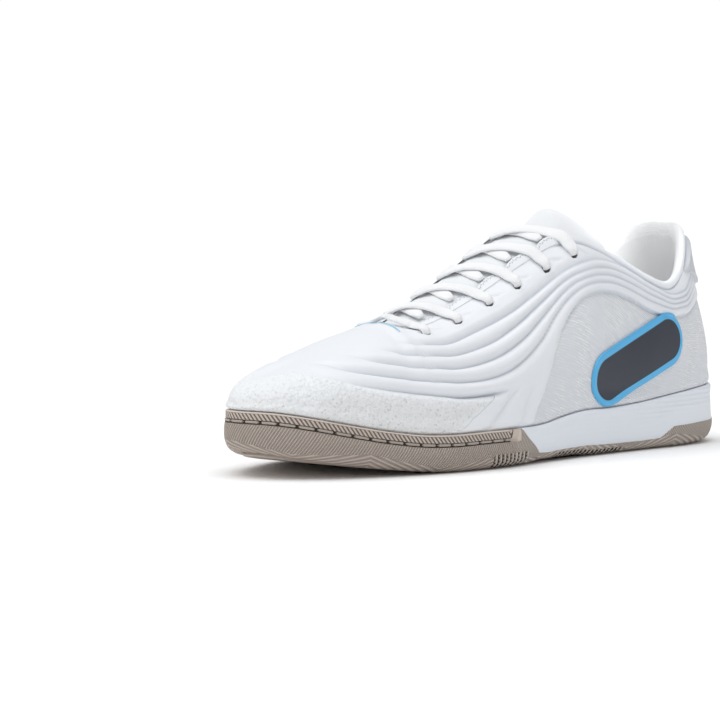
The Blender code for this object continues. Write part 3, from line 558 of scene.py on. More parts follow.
    @staticmethod
    def valley_share(number: int, t: Array) -> Array:
        """How much there is of the edge line, number 0, or of a valley above it, 0 to 1.

        Args:
            number: Which line.
            t: Shares of the way from heel to toe.

        Returns:
            Shares from 0 to 1.
        """
        if number:
            return 1 - ease(*VALLEY_ENDS[number - 1], t)
        share = 1 - ease(*EDGE_STOP, t) * (1 - ease(*EDGE_START, t))
        return share * (1 - ease(*EDGE_END, t))

    def quarter_edge(self, t: Array) -> Array:
        """Places on the ribs of the heel quarter's edge; below it a rib is on the quarter.

        Args:
            t: Shares of the way from heel to toe.

        Returns:
            Places on the ribs.
        """
        table = np.array(QUARTER_FRONT)
        front = np.interp(t, table[:, 0], table[:, 1])
        front = np.where(t > 0.56, -0.2, front)
        return np.where(t <= table[0, 0], self.valley_curve.at(t)[..., 0], front)

    def relief(self, u: Array, v: Array) -> Array:
        """Height of the rolls and panels over the upper's base surface.

        Args:
            u, v: Places around the shoe and on the ribs.

        Returns:
            Heights in metres, negative in a valley.
        """
        u, v = np.broadcast_arrays(np.asarray(u, float), np.asarray(v, float))
        t, _ = self.fold(u)
        lines = self.valleys(u)
        spacing = (lines[..., 4] - lines[..., 1]) / 3
        depth = self.ridge * np.minimum(1.0, spacing / 0.12) * ease(0.10, 0.20, t)
        edge = ease(0.86, 1.0, v) * (1 - ease(0.70, 0.76, t))
        back = ease(0.04, 0.16, t)
        height = 0.5 * self.ridge * ease(0.0, 0.05, v) * (1 - edge) * back
        for i in range(5):
            line = lines[..., i]
            below = line - lines[..., i - 1] if i else np.full_like(line, 0.12)
            above = lines[..., i + 1] - line if i < 4 else np.full_like(line, 0.12)
            reach = np.where(v < line, below, above) / 2
            away = np.sqrt((v - line) ** 2 + 0.005**2) - 0.002
            shape = np.maximum(0.0, 1 - away / reach) ** 2.4
            share = self.valley_share(i, t)
            if i == 0:
                share = share * (1 + 0.5 * ease(0.585, 0.61, t) * ease(0.72, 0.66, t))
            height = height - depth * share * shape
        slope = np.abs(self.quarter_edge(t + 0.004) - self.quarter_edge(t - 0.004)) / 0.008
        wide = 0.008 + 0.0045 * np.minimum(slope, 10.0)
        step = ease(-1.0, 1.0, (self.quarter_edge(t) - v) / wide) * ease(0.0, 0.06, v)
        height = height - 0.5 * self.ridge * step * back
        height = height + self.foot_bulge * ease(0.0, 0.02, v) * ease(0.12, 0.04, v)
        seam = np.maximum(0.0, 1 - np.abs(v - self.collar_seam) / 0.014) * ease(0.47, 0.44, t)
        height = height - self.seam_depth * seam
        along, up = t * self.per_u, v * self.per_v
        for near, far, lean, deep in CREASES:
            off = along - near - lean * (0.016 - up)
            crease = np.exp(-(off / far) ** 2) * ease(0.0, 0.002, up) * ease(0.019, 0.013, up)
            height = height - deep * crease
        return np.where(v < 0, 0.0, height)

    def eyelet_dents(self, u: Array, v: Array) -> tuple[Array, Array]:
        """How near a place is to an eyelet, and how deep it is in the dash pressed behind one.

        Args:
            u: Places around the shoe.
            v: Places on the ribs.

        Returns:
            Distance to the nearest eyelet's middle in metres, and the dash's depth, 0 to 1.
        """
        t, _ = self.fold(u)
        near = np.full_like(t, 1.0)
        dash = np.zeros_like(t)
        for t1, v1 in EYELETS:
            along, up = (t - t1) * self.per_u, (v - v1 + 0.008) * self.per_v
            near = np.minimum(near, np.hypot(along, up))
            share = np.clip((-0.0020 - along) / 0.0045, 0.0, 1.0)
            far = np.hypot(along + 0.0020 + 0.0045 * share, up - 0.0026 + 0.0022 * share)
            dash = np.maximum(dash, ease(0.0010, 0.0003, far))
        return near, dash

    def wall(self, u: Array, v: Array) -> Array:
        """Thickness of the upper, which is padded around the collar."""
        t, _ = self.fold(np.asarray(u, float))
        pad = (1 - ease(0.28, 0.40, t)) * ease(0.55, 0.85, v) * (1 - 0.4 * ease(0.88, 1.0, v))
        return self.upper_wall + self.collar_pad * pad

    def mean_normal(self, t: float) -> Array:
        """The direction out of the throat, between its two edges."""
        return unit(self.normal(np.array(t), 1.0) + self.normal(np.array(2 - t), 1.0))

    def span(self, t: float, share: float, rise: float) -> Array:
        """A point between the throat's edges.

        Args:
            t: Share of the way from heel to toe.
            share: -1 at the outer edge to 1 at the inner one.
            rise: How far the line between the edges is arched.

        Returns:
            The point.
        """
        low, high = self.top_point(np.array(t)), self.top_point(np.array(2 - t))
        point = low + (high - low) * (share + 1) / 2
        return point + self.mean_normal(t) * (rise * (1 - share * share))

    def place(self, points: Array) -> Array:
        """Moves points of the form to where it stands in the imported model."""
        return points + self.shift


class Nodes:
    """A material under construction, with short calls for the nodes that it needs."""

    def __init__(self, name: str, colour: Colour, roughness: float) -> None:
        """Starts the material.

        Args:
            name: The material's name.
            colour: Its plain colour, linear.
            roughness: Its plain roughness.
        """
        self.material = bpy.data.materials.new(name)
        self.material.use_nodes = True
        self.material.diffuse_color = (*colour, 1)
        self.tree = self.material.node_tree
        self.shader = self.tree.nodes["Principled BSDF"]
        self.shader.inputs["Base Color"].default_value = (*colour, 1)
        self.shader.inputs["Roughness"].default_value = roughness
        self.shader.inputs["Metallic"].default_value = 0.0

    def plain(self, **levels: Union[float, tuple]) -> None:
        """Sets sockets of the shader; an underscore in a name stands for a space."""
        for name, level in levels.items():
            self.shader.inputs[name.replace("_", " ")].default_value = level

    def node(self, kind: str, **settings: object) -> bpy.types.Node:
        """Adds a node and sets its properties.

        Args:
            kind: The node's type.
            **settings: Its properties.

        Returns:
            The new node.
        """
        made = self.tree.nodes.new(kind)
        for name, value in settings.items():
            setattr(made, name, value)
        return made

    def feed(self, socket: Socket, source: Union[Level, tuple, None]) -> None:
        """Links a source to a socket, or sets the socket's own value.

        Args:
            socket: What is fed.
            source: A socket, a value, or None to leave it.
        """
        if isinstance(source, bpy.types.NodeSocket):
            self.tree.links.new(source, socket)
        elif source is not None:
            socket.default_value = source

    def math(self, operation: str, a: Level, b: Level = 0.0, c: Level = 0.0) -> Socket:
        """The result of a Math node.

        Args:
            operation: Its name.
            a, b, c: Its inputs.

        Returns:
            The output.
        """
        made = self.node("ShaderNodeMath", operation=operation)
        for socket, source in zip(made.inputs, (a, b, c)):
            self.feed(socket, source)
        return made.outputs[0]

    def times(self, a: Level, b: Level) -> Socket:
        """The product of two numbers."""
        return self.math("MULTIPLY", a, b)

    def plus(self, a: Level, b: Level) -> Socket:
        """The sum of two numbers."""
        return self.math("ADD", a, b)

    def less(self, a: Level, b: Level) -> Socket:
        """What is left of a number when another is taken away."""
        return self.math("SUBTRACT", a, b)

    def scaled(self, value: Level, factor: Level, offset: Level) -> Socket:
        """A number times a factor, plus an offset."""
        return self.math("MULTIPLY_ADD", value, factor, offset)

    def mark(self, name: str) -> Socket:
        """A number that the mesh carries as an attribute."""
        return self.node("ShaderNodeAttribute", attribute_name=name).outputs["Fac"]

    def chart(self) -> tuple[Socket, Socket]:
        """The two coordinates of the piece's own chart, in metres.

        Returns:
            Along and across.
        """
        found = self.node("ShaderNodeUVMap", uv_map="chart").outputs[0]
        parts = self.node("ShaderNodeSeparateXYZ")
        self.feed(parts.inputs[0], found)
        return parts.outputs[0], parts.outputs[1]

    def body(self) -> Socket:
        """Object coordinates."""
        return self.node("ShaderNodeTexCoord").outputs["Object"]

    def join(self, x: Level, y: Level) -> Socket:
        """A flat vector from two numbers.

        Args:
            x, y: Its parts.

        Returns:
            The vector.
        """
        made = self.node("ShaderNodeCombineXYZ")
        for socket, source in zip(made.inputs, (x, y)):
            self.feed(socket, source)
        return made.outputs[0]

    def span(self, value: Level, low: float, high: float) -> Socket:
        """Eases a number from 0 at low to 1 at high, which may be the smaller one.

        Args:
            value: What is eased.
            low, high: The two ends.

        Returns:
            The eased number.
        """
        made = self.node("ShaderNodeMapRange", interpolation_type="SMOOTHSTEP")
        levels = (low, high, 0.0, 1.0) if low <= high else (high, low, 1.0, 0.0)
        for socket, source in zip(made.inputs, (value, *levels)):
            self.feed(socket, source)
        return made.outputs[0]

    def noise(self, where: Socket, scale: float, detail: float = 2.0, rough: float = 0.5) -> Socket:
        """The height of a noise texture.

        Args:
            where: Coordinates.
            scale: Its frequency.
            detail, rough: Its finer octaves.

        Returns:
            The output.
        """
        made = self.node("ShaderNodeTexNoise")
        self.feed(made.inputs["Vector"], where)
        made.inputs["Scale"].default_value = scale
        made.inputs["Detail"].default_value = detail
        made.inputs["Roughness"].default_value = rough
        return made.outputs[0]

    def cells(self, where: Socket, scale: float) -> Socket:
        """The distance of a Voronoi texture.

        Args:
            where: Coordinates.
            scale: Its frequency.

        Returns:
            The output.
        """
        made = self.node("ShaderNodeTexVoronoi", feature="F1")
        self.feed(made.inputs["Vector"], where)
        made.inputs["Scale"].default_value = scale
        return made.outputs["Distance"]

    def wave(self, value: Level, pitch: float) -> Socket:
        """A sine from 0 to 1 of a length in metres."""
        turn = self.times(value, 2 * math.pi / pitch)
        return self.scaled(self.math("SINE", turn), 0.5, 0.5)

    def mix(self, share: Level, a: Union[Colour, Socket], b: Union[Colour, Socket]) -> Socket:
        """A colour between two colours.

        Args:
            share: How much of the second there is.
            a, b: The colours.

        Returns:
            The output.
        """
        made = self.node("ShaderNodeMix", data_type="RGBA")
        self.feed(made.inputs[0], share)
        for socket, source in ((made.inputs[6], a), (made.inputs[7], b)):
            self.feed(socket, source if isinstance(source, bpy.types.NodeSocket) else (*source, 1))
        return made.outputs[2]

    def relief(self, height: Socket, depth: float) -> None:
        """Gives the shader a normal from a height, of which one stands for depth metres.

        Args:
            height: What the normal follows.
            depth: Metres for a height of one.
        """
        made = self.node("ShaderNodeBump")
        made.inputs["Strength"].default_value = 1.0
        made.inputs["Distance"].default_value = depth
        self.feed(made.inputs["Height"], height)
        self.feed(self.shader.inputs["Normal"], made.outputs[0])

    def colour(self, source: Socket) -> None:
        """Feeds the shader's colour."""
        self.feed(self.shader.inputs["Base Color"], source)

    def gloss(self, source: Socket) -> None:
        """Feeds the shader's roughness."""
        self.feed(self.shader.inputs["Roughness"], source)


@dataclass(frozen=True)
class UpperFinish:
    """Soft synthetic leather with a pebbled toe cap and a knitted heel quarter, with painted shade
    in its valleys, along its collar seam and in its eyelet holes.
    """

    leather: Colour = (0.82, 0.835, 0.86)
    cap: Colour = (0.80, 0.808, 0.81)
    knit: Colour = (0.70, 0.715, 0.745)
    # painted shade for the valleys between the rolls and the collar seam
    shade: Colour = (0.45, 0.50, 0.60)
    cloud: Colour = (0.76, 0.79, 0.84)
    speck: Colour = (0.36, 0.36, 0.36)
    pale_speck: Colour = (0.5, 0.5, 0.5)
    lump: Colour = (0.62, 0.63, 0.65)
    yarn: Colour = (0.90, 0.91, 0.92)
    # painted shade of the eyelet holes
    hole: Colour = (0.08, 0.08, 0.09)

    def make(self) -> bpy.types.Material:
        """Builds the material.

        Returns:
            The material.
        """
        n = Nodes("upper_skin", self.leather, 0.5)
        n.plain(Specular_IOR_Level=0.35, Sheen_Weight=0.08, Sheen_Roughness=0.5)
        where = n.body()
        ragged = n.scaled(n.noise(where, 260.0, 2.0), 0.0008, n.mark("cap"))
        cap = n.span(ragged, 0.0, 0.0008)
        inner = n.span(n.mark("cap"), 0.0, 0.0065)
        knit = n.span(n.mark("quarter"), -0.0010, 0.0010)
        hole = n.span(n.mark("eyelet"), 0.0019, 0.0014)
        grain = n.noise(where, 700.0, 3.0, 0.6)
        cloud = n.noise(where, 22.0, 2.0)
        pebble = n.less(1.0, n.cells(where, 620.0))
        lump = n.noise(where, 330.0, 2.0)
        speck = n.span(n.noise(where, 800.0, 1.0), 0.60, 0.70)
        along, up = n.chart()
        line = n.scaled(along, -0.45, up)
        hatch = n.wave(line, 0.00115)
        stretch = n.join(n.times(along, 170.0), n.times(line, 800.0))
        dashes = n.span(n.noise(stretch, 1.0, 1.0), 0.42, 0.56)
        broad = n.noise(n.join(n.times(along, 90.0), n.times(up, 28.0)), 1.0, 2.0)
        patch = n.span(broad, 0.40, 0.62)
        mesh = n.times(n.times(hatch, dashes), n.scaled(patch, 0.75, 0.25))
        tone = n.mix(n.times(cloud, 0.25), self.leather, self.cloud)
        capped = n.mix(n.times(speck, 0.50), self.cap, self.speck)
        capped = n.mix(n.times(lump, 0.5), capped, self.lump)
        edge = n.mix(n.times(speck, 0.25), self.leather, self.pale_speck)
        capped = n.mix(inner, edge, capped)
        knitted = n.mix(mesh, self.knit, self.yarn)
        tone = n.mix(cap, tone, capped)
        tone = n.mix(knit, tone, knitted)
        # painted shade: the valleys between the rolls and the collar seam are darkened
        tone = n.mix(n.times(n.mark("valley"), 0.50), tone, self.shade)
        # painted shade: the eyelet holes are darkened near to black
        tone = n.mix(hole, tone, self.hole)
        n.colour(tone)
        smooth = n.less(1.0, n.math("MAXIMUM", cap, knit))
        leather_height = n.times(n.times(grain, 0.16), smooth)
        cap_height = n.times(n.scaled(lump, 0.8, pebble), cap)
        knit_height = n.times(n.times(mesh, 0.55), knit)
        height = n.plus(leather_height, n.plus(cap_height, knit_height))
        n.relief(height, 0.00042)
        n.gloss(n.scaled(n.math("MAXIMUM", cap, knit), 0.25, 0.46))
        return n.material


@dataclass(frozen=True)
class ClothFinish:
    """A fine knitted or woven cloth."""

    name: str = "lining_knit"
    tone: Colour = (0.94, 0.95, 0.96)
    light: Colour = (0.98, 0.985, 0.99)
    pitch: float = 0.0011
    depth: float = 0.00022

    def make(self) -> bpy.types.Material:
        """Builds the material.

        Returns:
            The material.
        """
        n = Nodes(self.name, self.tone, 0.9)
        n.plain(Specular_IOR_Level=0.2, Sheen_Weight=0.25, Sheen_Roughness=0.6)
        along, up = n.chart()
        rising, falling = n.plus(along, up), n.less(along, up)
        weave = n.times(n.wave(rising, self.pitch), n.wave(falling, self.pitch))
        where = n.body()
        cloud = n.noise(where, 30.0, 3.0)
        n.colour(n.mix(n.scaled(weave, 0.5, n.times(cloud, 0.4)), self.tone, self.light))
        fuzz = n.noise(where, 1500.0, 2.0)
        height = n.scaled(fuzz, 0.4, weave)
        n.relief(height, self.depth)
        return n.material


@dataclass(frozen=True)
class RubberFinish:
    """Matt taupe rubber with fine slanted ribs on its side, painted shade in its rib grooves, rope
    gaps, stitched groove and tooth slots, and painted light on its rear part.
    """

    tone: Colour = (0.55, 0.468, 0.408)
    light: Colour = (0.70, 0.625, 0.56)
    # painted shade for the grooves between the ribs and the gaps of the rope band
    painted_shade: Colour = (0.15, 0.118, 0.100)
    # painted shade, near black, for the stitched groove and the slots between the teeth
    deep: Colour = (0.026, 0.020, 0.017)
    zigzag: float = 0.034

    def make(self) -> bpy.types.Material:
        """Builds the material.

        Returns:
            The material.
        """
        n = Nodes("taupe_rubber", self.tone, 0.62)
        n.plain(Specular_IOR_Level=0.35)
        along, up = n.chart()
        where = n.body()
        side = n.mark("side")
        drop = n.mark("drop")
        fold = n.math("PINGPONG", along, self.zigzag)
        steep = n.wave(n.scaled(up, 0.70, along), 0.00135)
        shallow = n.wave(n.scaled(fold, 0.34, up), 0.0019)
        upper_zone = n.span(n.scaled(fold, 0.12, up), 0.0066, 0.0070)
        lower_zone = n.less(1.0, upper_zone)
        ribs = n.plus(n.times(steep, upper_zone), n.times(shallow, lower_zone))
        teeth = n.mark("teeth")
        phase = n.scaled(up, n.mark("lean"), n.less(along, TOOTH_START * TOOTH_PITCH))
        slot = n.times(n.span(n.wave(phase, TOOTH_PITCH), 0.08, 0.30), teeth)
        ribbed = n.times(ribs, side)
        ribbed = n.math("MAXIMUM", ribbed, n.times(n.span(teeth, 0.0, 0.4), side))
        rope_room = n.times(n.span(drop, 0.0005, 0.0008), n.span(drop, 0.0036, 0.0033))
        twist = n.wave(n.scaled(drop, 0.8, along), 0.0020)
        gaps = n.times(n.span(twist, 0.55, 0.20), rope_room)
        groove = n.times(n.span(drop, 0.0033, 0.0036), n.span(drop, 0.0053, 0.0050))
        cloud = n.noise(where, 45.0, 3.0)
        tone = n.mix(n.times(cloud, 0.3), self.tone, self.light)
        # painted light: the rubber behind the forefoot, where the drop mark is large, is lifted
        # towards the light tone
        tone = n.mix(n.times(n.span(drop, 0.018, 0.021), 0.45), tone, self.light)
        # painted shade: darker in the grooves between the side's ribs
        tone = n.mix(n.times(n.less(side, ribbed), 0.62), tone, self.painted_shade)
        tone = n.mix(n.times(n.span(drop, 0.0007, 0.0004), 0.75), tone, self.light)
        # painted shade: darker in the gaps between the rope band's strands
        tone = n.mix(n.times(gaps, 0.95), tone, self.painted_shade)
        # painted shade: the stitched groove and the tooth slots are darkened near to black
        tone = n.mix(n.times(n.math("MAXIMUM", groove, slot), 0.96), tone, self.deep)
        n.colour(tone)
        grain = n.noise(where, 1200.0, 2.0)
        height = n.plus(ribbed, n.times(n.less(1.0, gaps), rope_room))
        n.relief(n.scaled(grain, 0.12, height), 0.00060)
        return n.material


@dataclass(frozen=True)
class FoamFinish:
    """The smooth skin of moulded foam, with fine lines that run along the wall."""

    tone: Colour = (0.80, 0.83, 0.88)
    shade: Colour = (0.62, 0.67, 0.76)

    def make(self) -> bpy.types.Material:
        """Builds the material.

        Returns:
            The material.
        """
        n = Nodes("white_foam", self.tone, 0.55)
        n.plain(Specular_IOR_Level=0.35)
        _, up = n.chart()
        where = n.body()
        wander = n.times(n.noise(where, 25.0, 2.0), 0.0016)
        lines = n.wave(n.plus(up, wander), 0.0021)
        lines = n.times(n.math("POWER", lines, 3.0), n.mark("lined"))
        n.colour(n.mix(n.times(lines, 0.22), self.tone, self.shade))
        grain = n.noise(where, 1400.0, 2.0)
        n.relief(n.scaled(grain, 0.12, n.less(1.0, lines)), 0.00018)
        return n.material


@dataclass(frozen=True)
class LaceFinish:
    """Braided flat cord."""

    tone: Colour = (0.98, 0.985, 0.99)
    shade: Colour = (0.92, 0.93, 0.945)

    def make(self) -> bpy.types.Material:
        """Builds the material.

        Returns:
            The material.
        """
        n = Nodes("white_lace", self.tone, 0.85)
        n.plain(Specular_IOR_Level=0.2, Sheen_Weight=0.3, Sheen_Roughness=0.5)
        along, across = n.chart()
        slope = n.math("ABSOLUTE", across)
        braid = n.wave(n.scaled(slope, 0.9, along), 0.0009)
        ribs = n.wave(across, 0.0008)
        height = n.times(braid, n.scaled(ribs, 0.5, 0.5))
        n.colour(n.mix(height, self.shade, self.tone))
        n.relief(height, 0.00018)
        return n.material


@dataclass(frozen=True)
class FilmFinish:
    """Thin smooth film in navy with a light blue rim."""

    navy: Colour = (0.026, 0.032, 0.048)
    blue: Colour = (0.10, 0.46, 0.80)

    def make(self) -> bpy.types.Material:
        """Builds the material.

        Returns:
            The material.
        """
        n = Nodes("navy_film", self.navy, 0.42)
        n.plain(Specular_IOR_Level=0.4)
        rim = n.span(n.mark("rim"), 0.0030, 0.0026)
        n.colour(n.mix(rim, self.navy, self.blue))
        grain = n.noise(n.body(), 1600.0, 2.0)
        edge = n.span(n.mark("rim"), 0.0, 0.0009)
        ledge = n.span(n.mark("rim"), 0.0032, 0.0026)
        height = n.plus(n.times(grain, 0.08), n.scaled(ledge, 0.6, edge))
        n.relief(height, 0.00022)
        return n.material


@dataclass(frozen=True)
class TrimFinish:
    """Thin pale film with a row of zigzag stitches along its edge."""

    tone: Colour = (0.82, 0.84, 0.865)
    thread: Colour = (0.50, 0.53, 0.58)

    def make(self) -> bpy.types.Material:
        """Builds the material.

        Returns:
            The material.
        """
        n = Nodes("throat_trim", self.tone, 0.5)
        n.plain(Specular_IOR_Level=0.35)
        along, _ = n.chart()
        zigzag = n.scaled(n.math("PINGPONG", along, 0.0011), 0.9, 0.0008)
        near = n.math("ABSOLUTE", n.less(n.mark("edge"), zigzag))
        line = n.span(near, 0.00042, 0.00018)
        gaps = n.span(n.wave(along, 0.0011), 0.25, 0.55)
        stitch = n.times(line, gaps)
        n.colour(n.mix(n.times(stitch, 0.75), self.tone, self.thread))
        grain = n.noise(n.body(), 700.0, 2.0)
        n.relief(n.less(grain, n.times(stitch, 2.0)), 0.00012)
        return n.material


@dataclass(frozen=True)
class PlainFinish:
    """A finish of one tone with a fine grain."""

    name: str
    tone: Colour
    roughness: float = 0.6
    grain: float = 0.00008

    def make(self) -> bpy.types.Material:
        """Builds the material.

        Returns:
            The material.
        """
        n = Nodes(self.name, self.tone, self.roughness)
        where = n.body()
        cloud = n.noise(where, 80.0, 3.0)
        darker = tuple(level * 0.8 for level in self.tone)
        n.colour(n.mix(n.times(cloud, 0.6), self.tone, darker))
        n.relief(n.noise(where, 1300.0, 2.0), self.grain)
        return n.material


@dataclass
class GridPiece:
    """A piece that starts as a flat grid and is laid onto the form.

    Each function takes the grid's own shares from 0 to 1, along its columns and its rows.
    """

    name: str
    columns: int
    rows: int
    place: Callable[[Array, Array], Array]
    chart: Optional[Callable[[Array, Array], Array]] = None
    marks: dict[str, Callable[[Array, Array], Array]] = field(default_factory=dict)
    drop: Optional[Callable[[Array, Array], Array]] = None
    closed: bool = True
    sharp: float = 50.0
    soften: str = ""
    passes: int = 50

    def make(
        self,
        finishes: Sequence[bpy.types.Material],
        slot_of: Optional[Callable[[Array, Array], Array]] = None,
    ) -> bpy.types.Object:
        """Builds the object.

        Args:
            finishes: Its materials.
            slot_of: Which of them a face takes, from the shares at its middle.

        Returns:
            The finished object.
        """
        bm = bmesh.new()
        bmesh.ops.create_grid(bm, x_segments=self.columns, y_segments=self.rows, size=0.5)
        mesh = bpy.data.meshes.new(self.name)
        bm.to_mesh(mesh)
        count = len(mesh.vertices)
        flat = np.empty(count * 3)
        mesh.vertices.foreach_get("co", flat)
        flat = flat.reshape(-1, 3)
        s, r = np.clip(flat[:, 0] + 0.5, 0, 1), np.clip(flat[:, 1] + 0.5, 0, 1)
        points = FORM.place(self.place(s, r))
        mesh.vertices.foreach_set("co", points.ravel())
        corners = np.empty(len(mesh.loops), int)
        mesh.loops.foreach_get("vertex_index", corners)
        if self.chart:
            layer = mesh.uv_layers.new(name="chart")
            layer.data.foreach_set("uv", self.chart(s, r)[corners].ravel())
        for name, mark in self.marks.items():
            values = np.broadcast_to(mark(s, r), s.shape).astype(float)
            mesh.attributes.new(name, "FLOAT", "POINT").data.foreach_set("value", values)
        quads = corners.reshape(-1, 4)
        mid_s, mid_r = s[quads].mean(1), r[quads].mean(1)
        bm.clear()
        bm.from_mesh(mesh)
        bm.faces.ensure_lookup_table()
        if slot_of:
            for face, index in zip(bm.faces, slot_of(mid_s, mid_r)):
                face.material_index = int(index)
        if self.drop:
            gone = [face for face, out in zip(bm.faces, self.drop(mid_s, mid_r)) if out]
            bmesh.ops.delete(bm, geom=gone, context="FACES")
        if self.closed:
            bmesh.ops.remove_doubles(bm, verts=bm.verts, dist=2e-6)
            bmesh.ops.dissolve_degenerate(bm, edges=bm.edges, dist=1e-6)
        if self.soften:
            layer = bm.verts.layers.float[self.soften]
            chosen = [vert for vert in bm.verts if vert[layer] > 0.5]
            axes = {f"use_axis_{axis}": True for axis in "xyz"}
            for _ in range(self.passes):
                bmesh.ops.smooth_vert(bm, verts=chosen, factor=0.5, **axes)
        bmesh.ops.recalc_face_normals(bm, faces=bm.faces)
        bm.to_mesh(mesh)
        bm.free()
        mesh.shade_smooth()
        mesh.set_sharp_from_angle(angle=math.radians(self.sharp))
        for finish in finishes:
            mesh.materials.append(finish)
        made = bpy.data.objects.new(self.name, mesh)
        bpy.context.collection.objects.link(made)
        return made


def settle(piece: bpy.types.Object, slot: Slot, *nodes: str) -> bpy.types.Object:
    """Makes a piece ride on the shoe, and hides the nodes that it stands for.

    Args:
        piece: The piece.
        slot: Its slot; not used.
        *nodes: What it replaces.

    Returns:
        The same piece.
    """
    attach(piece, BODY)
    if nodes:
        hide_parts(*nodes)
    triangles = sum(len(face.vertices) - 2 for face in piece.data.polygons)
    LOG.info("%s: %d triangles", piece.name, triangles)
    return piece


FORM = Last()


@dataclass
class Upper:
    """The rolled upper with its padded collar and its lining."""

    columns: int = 420
    outer_rows: int = 174
    lip_rows: int = 10
    inner_rows: int = 26
    eyelet_depth: float = 0.0015
    eyelet_rim: float = 0.0003
    dash_depth: float = 0.0006

    def __post_init__(self) -> None:
        """Lays out the rows of the section: outside up, over the lip, inside down."""
        low, high = np.linspace(0, 0.86, 150), np.linspace(0.86, 1, self.outer_rows - 149)
        outer = np.concatenate([[-1.0, -0.5], low, high[1:]])
        lip = np.linspace(0, 1, self.lip_rows + 2)[1:-1]
        inner = np.concatenate([np.linspace(1, 0, self.inner_rows), [-1.0]])
        self.kind = np.array([0] * len(outer) + [1] * len(lip) + [2] * len(inner) + [0])
        self.value = np.concatenate([outer, lip, inner, [-1.0]])
        self.rows = len(self.kind) - 1
        self.lip_from = len(outer) - 1
        self.lip_to = len(outer) + len(lip)

    def row(self, r: Array) -> tuple[Array, Array]:
        """The kind of row and its place at the grid's share r."""
        index = np.rint(r * self.rows).astype(int)
        return self.kind[index], self.value[index]

    def place(self, s: Array, r: Array) -> Array:
        """Points of the section around the shoe.

        Args:
            s, r: Shares around and across.

        Returns:
            The points.
        """
        u = 2 * s
        kind, value = self.row(r)
        v = np.where(kind == 1, 1.0, value)
        base = FORM.base(u, v)
        out = FORM.normal(u, v)
        near, dash = FORM.eyelet_dents(u, v)
        height = FORM.relief(u, v) - self.dash_depth * dash
        height = height - self.eyelet_depth * ease(0.0024, 0.0014, near)
        height = height + self.eyelet_rim * ease(0.0040, 0.0026, near)
        skin = base + out * height[..., None]
        flat = np.concatenate([FORM.outline(u)[1], np.zeros((len(u), 1))], 1)
        inward = np.where((v < 0)[:, None], flat * FORM.upper_wall, out * FORM.wall(u, v)[:, None])
        inner = base - inward
        rise = unit(FORM.base(u, np.ones_like(u)) - FORM.base(u, np.full_like(u, 0.985)))
        half = (skin - inner) / 2
        turn = value * math.pi
        lip = (skin + inner) / 2 + half * np.cos(turn)[:, None]
        lip = lip + rise * (np.linalg.norm(half, axis=1) * np.sin(turn))[:, None]
        return np.where((kind == 0)[:, None], skin, np.where((kind == 1)[:, None], lip, inner))

    def chart(self, s: Array, r: Array) -> Array:
        """Metres around the shoe and up the rib."""
        kind, value = self.row(r)
        up = np.where(kind == 1, 1 + value * 0.1, np.where(kind == 2, 2.1 - value, value))
        return np.stack([s * 2 * FORM.per_u, up * 0.07], 1)

    def lining(self, s: Array, r: Array) -> Array:
        """Where the lining is eased into soft curves."""
        kind, value = self.row(r)
        return ((kind == 2) & (value > 0.02)) | ((kind == 1) & (value > 0.5))

    def cap(self, s: Array, r: Array) -> Array:
        """Distance inside the toe cap's edge.

        Args:
            s, r: Shares around and across.

        Returns:
            Metres, negative outside.
        """
        t, _ = FORM.fold(2 * s)
        kind, value = self.row(r)
        line = FORM.valleys(2 * s)[:, 0]
        rear = (t - 0.618 - 0.32 * (0.25 - value)) * 0.33
        inside = np.minimum((line - value) * 0.055 * (1 - 0.85 * ease(0.80, 0.90, t)), rear)
        return np.where(kind == 0, inside, -0.01)

    def quarter(self, s: Array, r: Array) -> Array:
        """Distance inside the heel quarter's edge."""
        t, _ = FORM.fold(2 * s)
        kind, value = self.row(r)
        return np.where(kind == 0, (FORM.quarter_edge(t) - value) * 0.07, -0.01)

    def valley(self, s: Array, r: Array) -> Array:
        """How deep in a valley between rolls or in the collar seam a point is, where the finish
        paints shade.

        Args:
            s, r: Shares around and across.

        Returns:
            Shares from 0 to 1.
        """
        t, _ = FORM.fold(2 * s)
        kind, value = self.row(r)
        lines = FORM.valleys(2 * s)
        found = np.zeros_like(t)
        for i in range(5):
            share = FORM.valley_share(i, t)
            near = np.exp(-((value - lines[:, i]) / 0.0085) ** 2)
            found = np.maximum(found, share * near)
        seam = np.exp(-((value - FORM.collar_seam) / 0.0075) ** 2) * ease(0.47, 0.44, t)
        found = np.maximum(found, seam)
        return np.where(kind == 0, np.maximum(found * ease(0.10, 0.20, t), seam), 0.0)

    def eyelet(self, s: Array, r: Array) -> Array:
        """Distance to the nearest eyelet's middle, about which the finish paints the hole's shade.
        """
        kind, value = self.row(r)
        return np.where(kind == 0, FORM.eyelet_dents(2 * s, value)[0], 1.0)

    def vamp_lip(self, s: Array, r: Array) -> Array:
        """Where the lip is left out, because both sides of the vamp meet there."""
        row = r * self.rows
        in_front = np.abs(1 - 2 * s) < 1 - THROAT_FRONT
        return in_front & (row > self.lip_from) & (row < self.lip_to)

    def inside(self, s: Array, r: Array) -> Array:
        """Which faces are of the lining's cloth, from a little way over the lip."""
        row = r * self.rows
        return (row > self.lip_from + self.lip_rows * 0.25) & (row < self.rows - 1)

    def build(self) -> bpy.types.Object:
        """Builds the upper.

        Returns:
            The finished object.
        """
        marks = {
            "cap": self.cap, "quarter": self.quarter, "valley": self.valley,
            "eyelet": self.eyelet, "lining": self.lining,
        }
        piece = GridPiece(
            "upper_shell", self.columns, self.rows, self.place, self.chart, marks, self.vamp_lip,
            sharp=75.0, soften="lining",
        )
        made = piece.make([UpperFinish().make(), ClothFinish().make()], self.inside)
        return settle(made, Slot.UPPER, "upper")


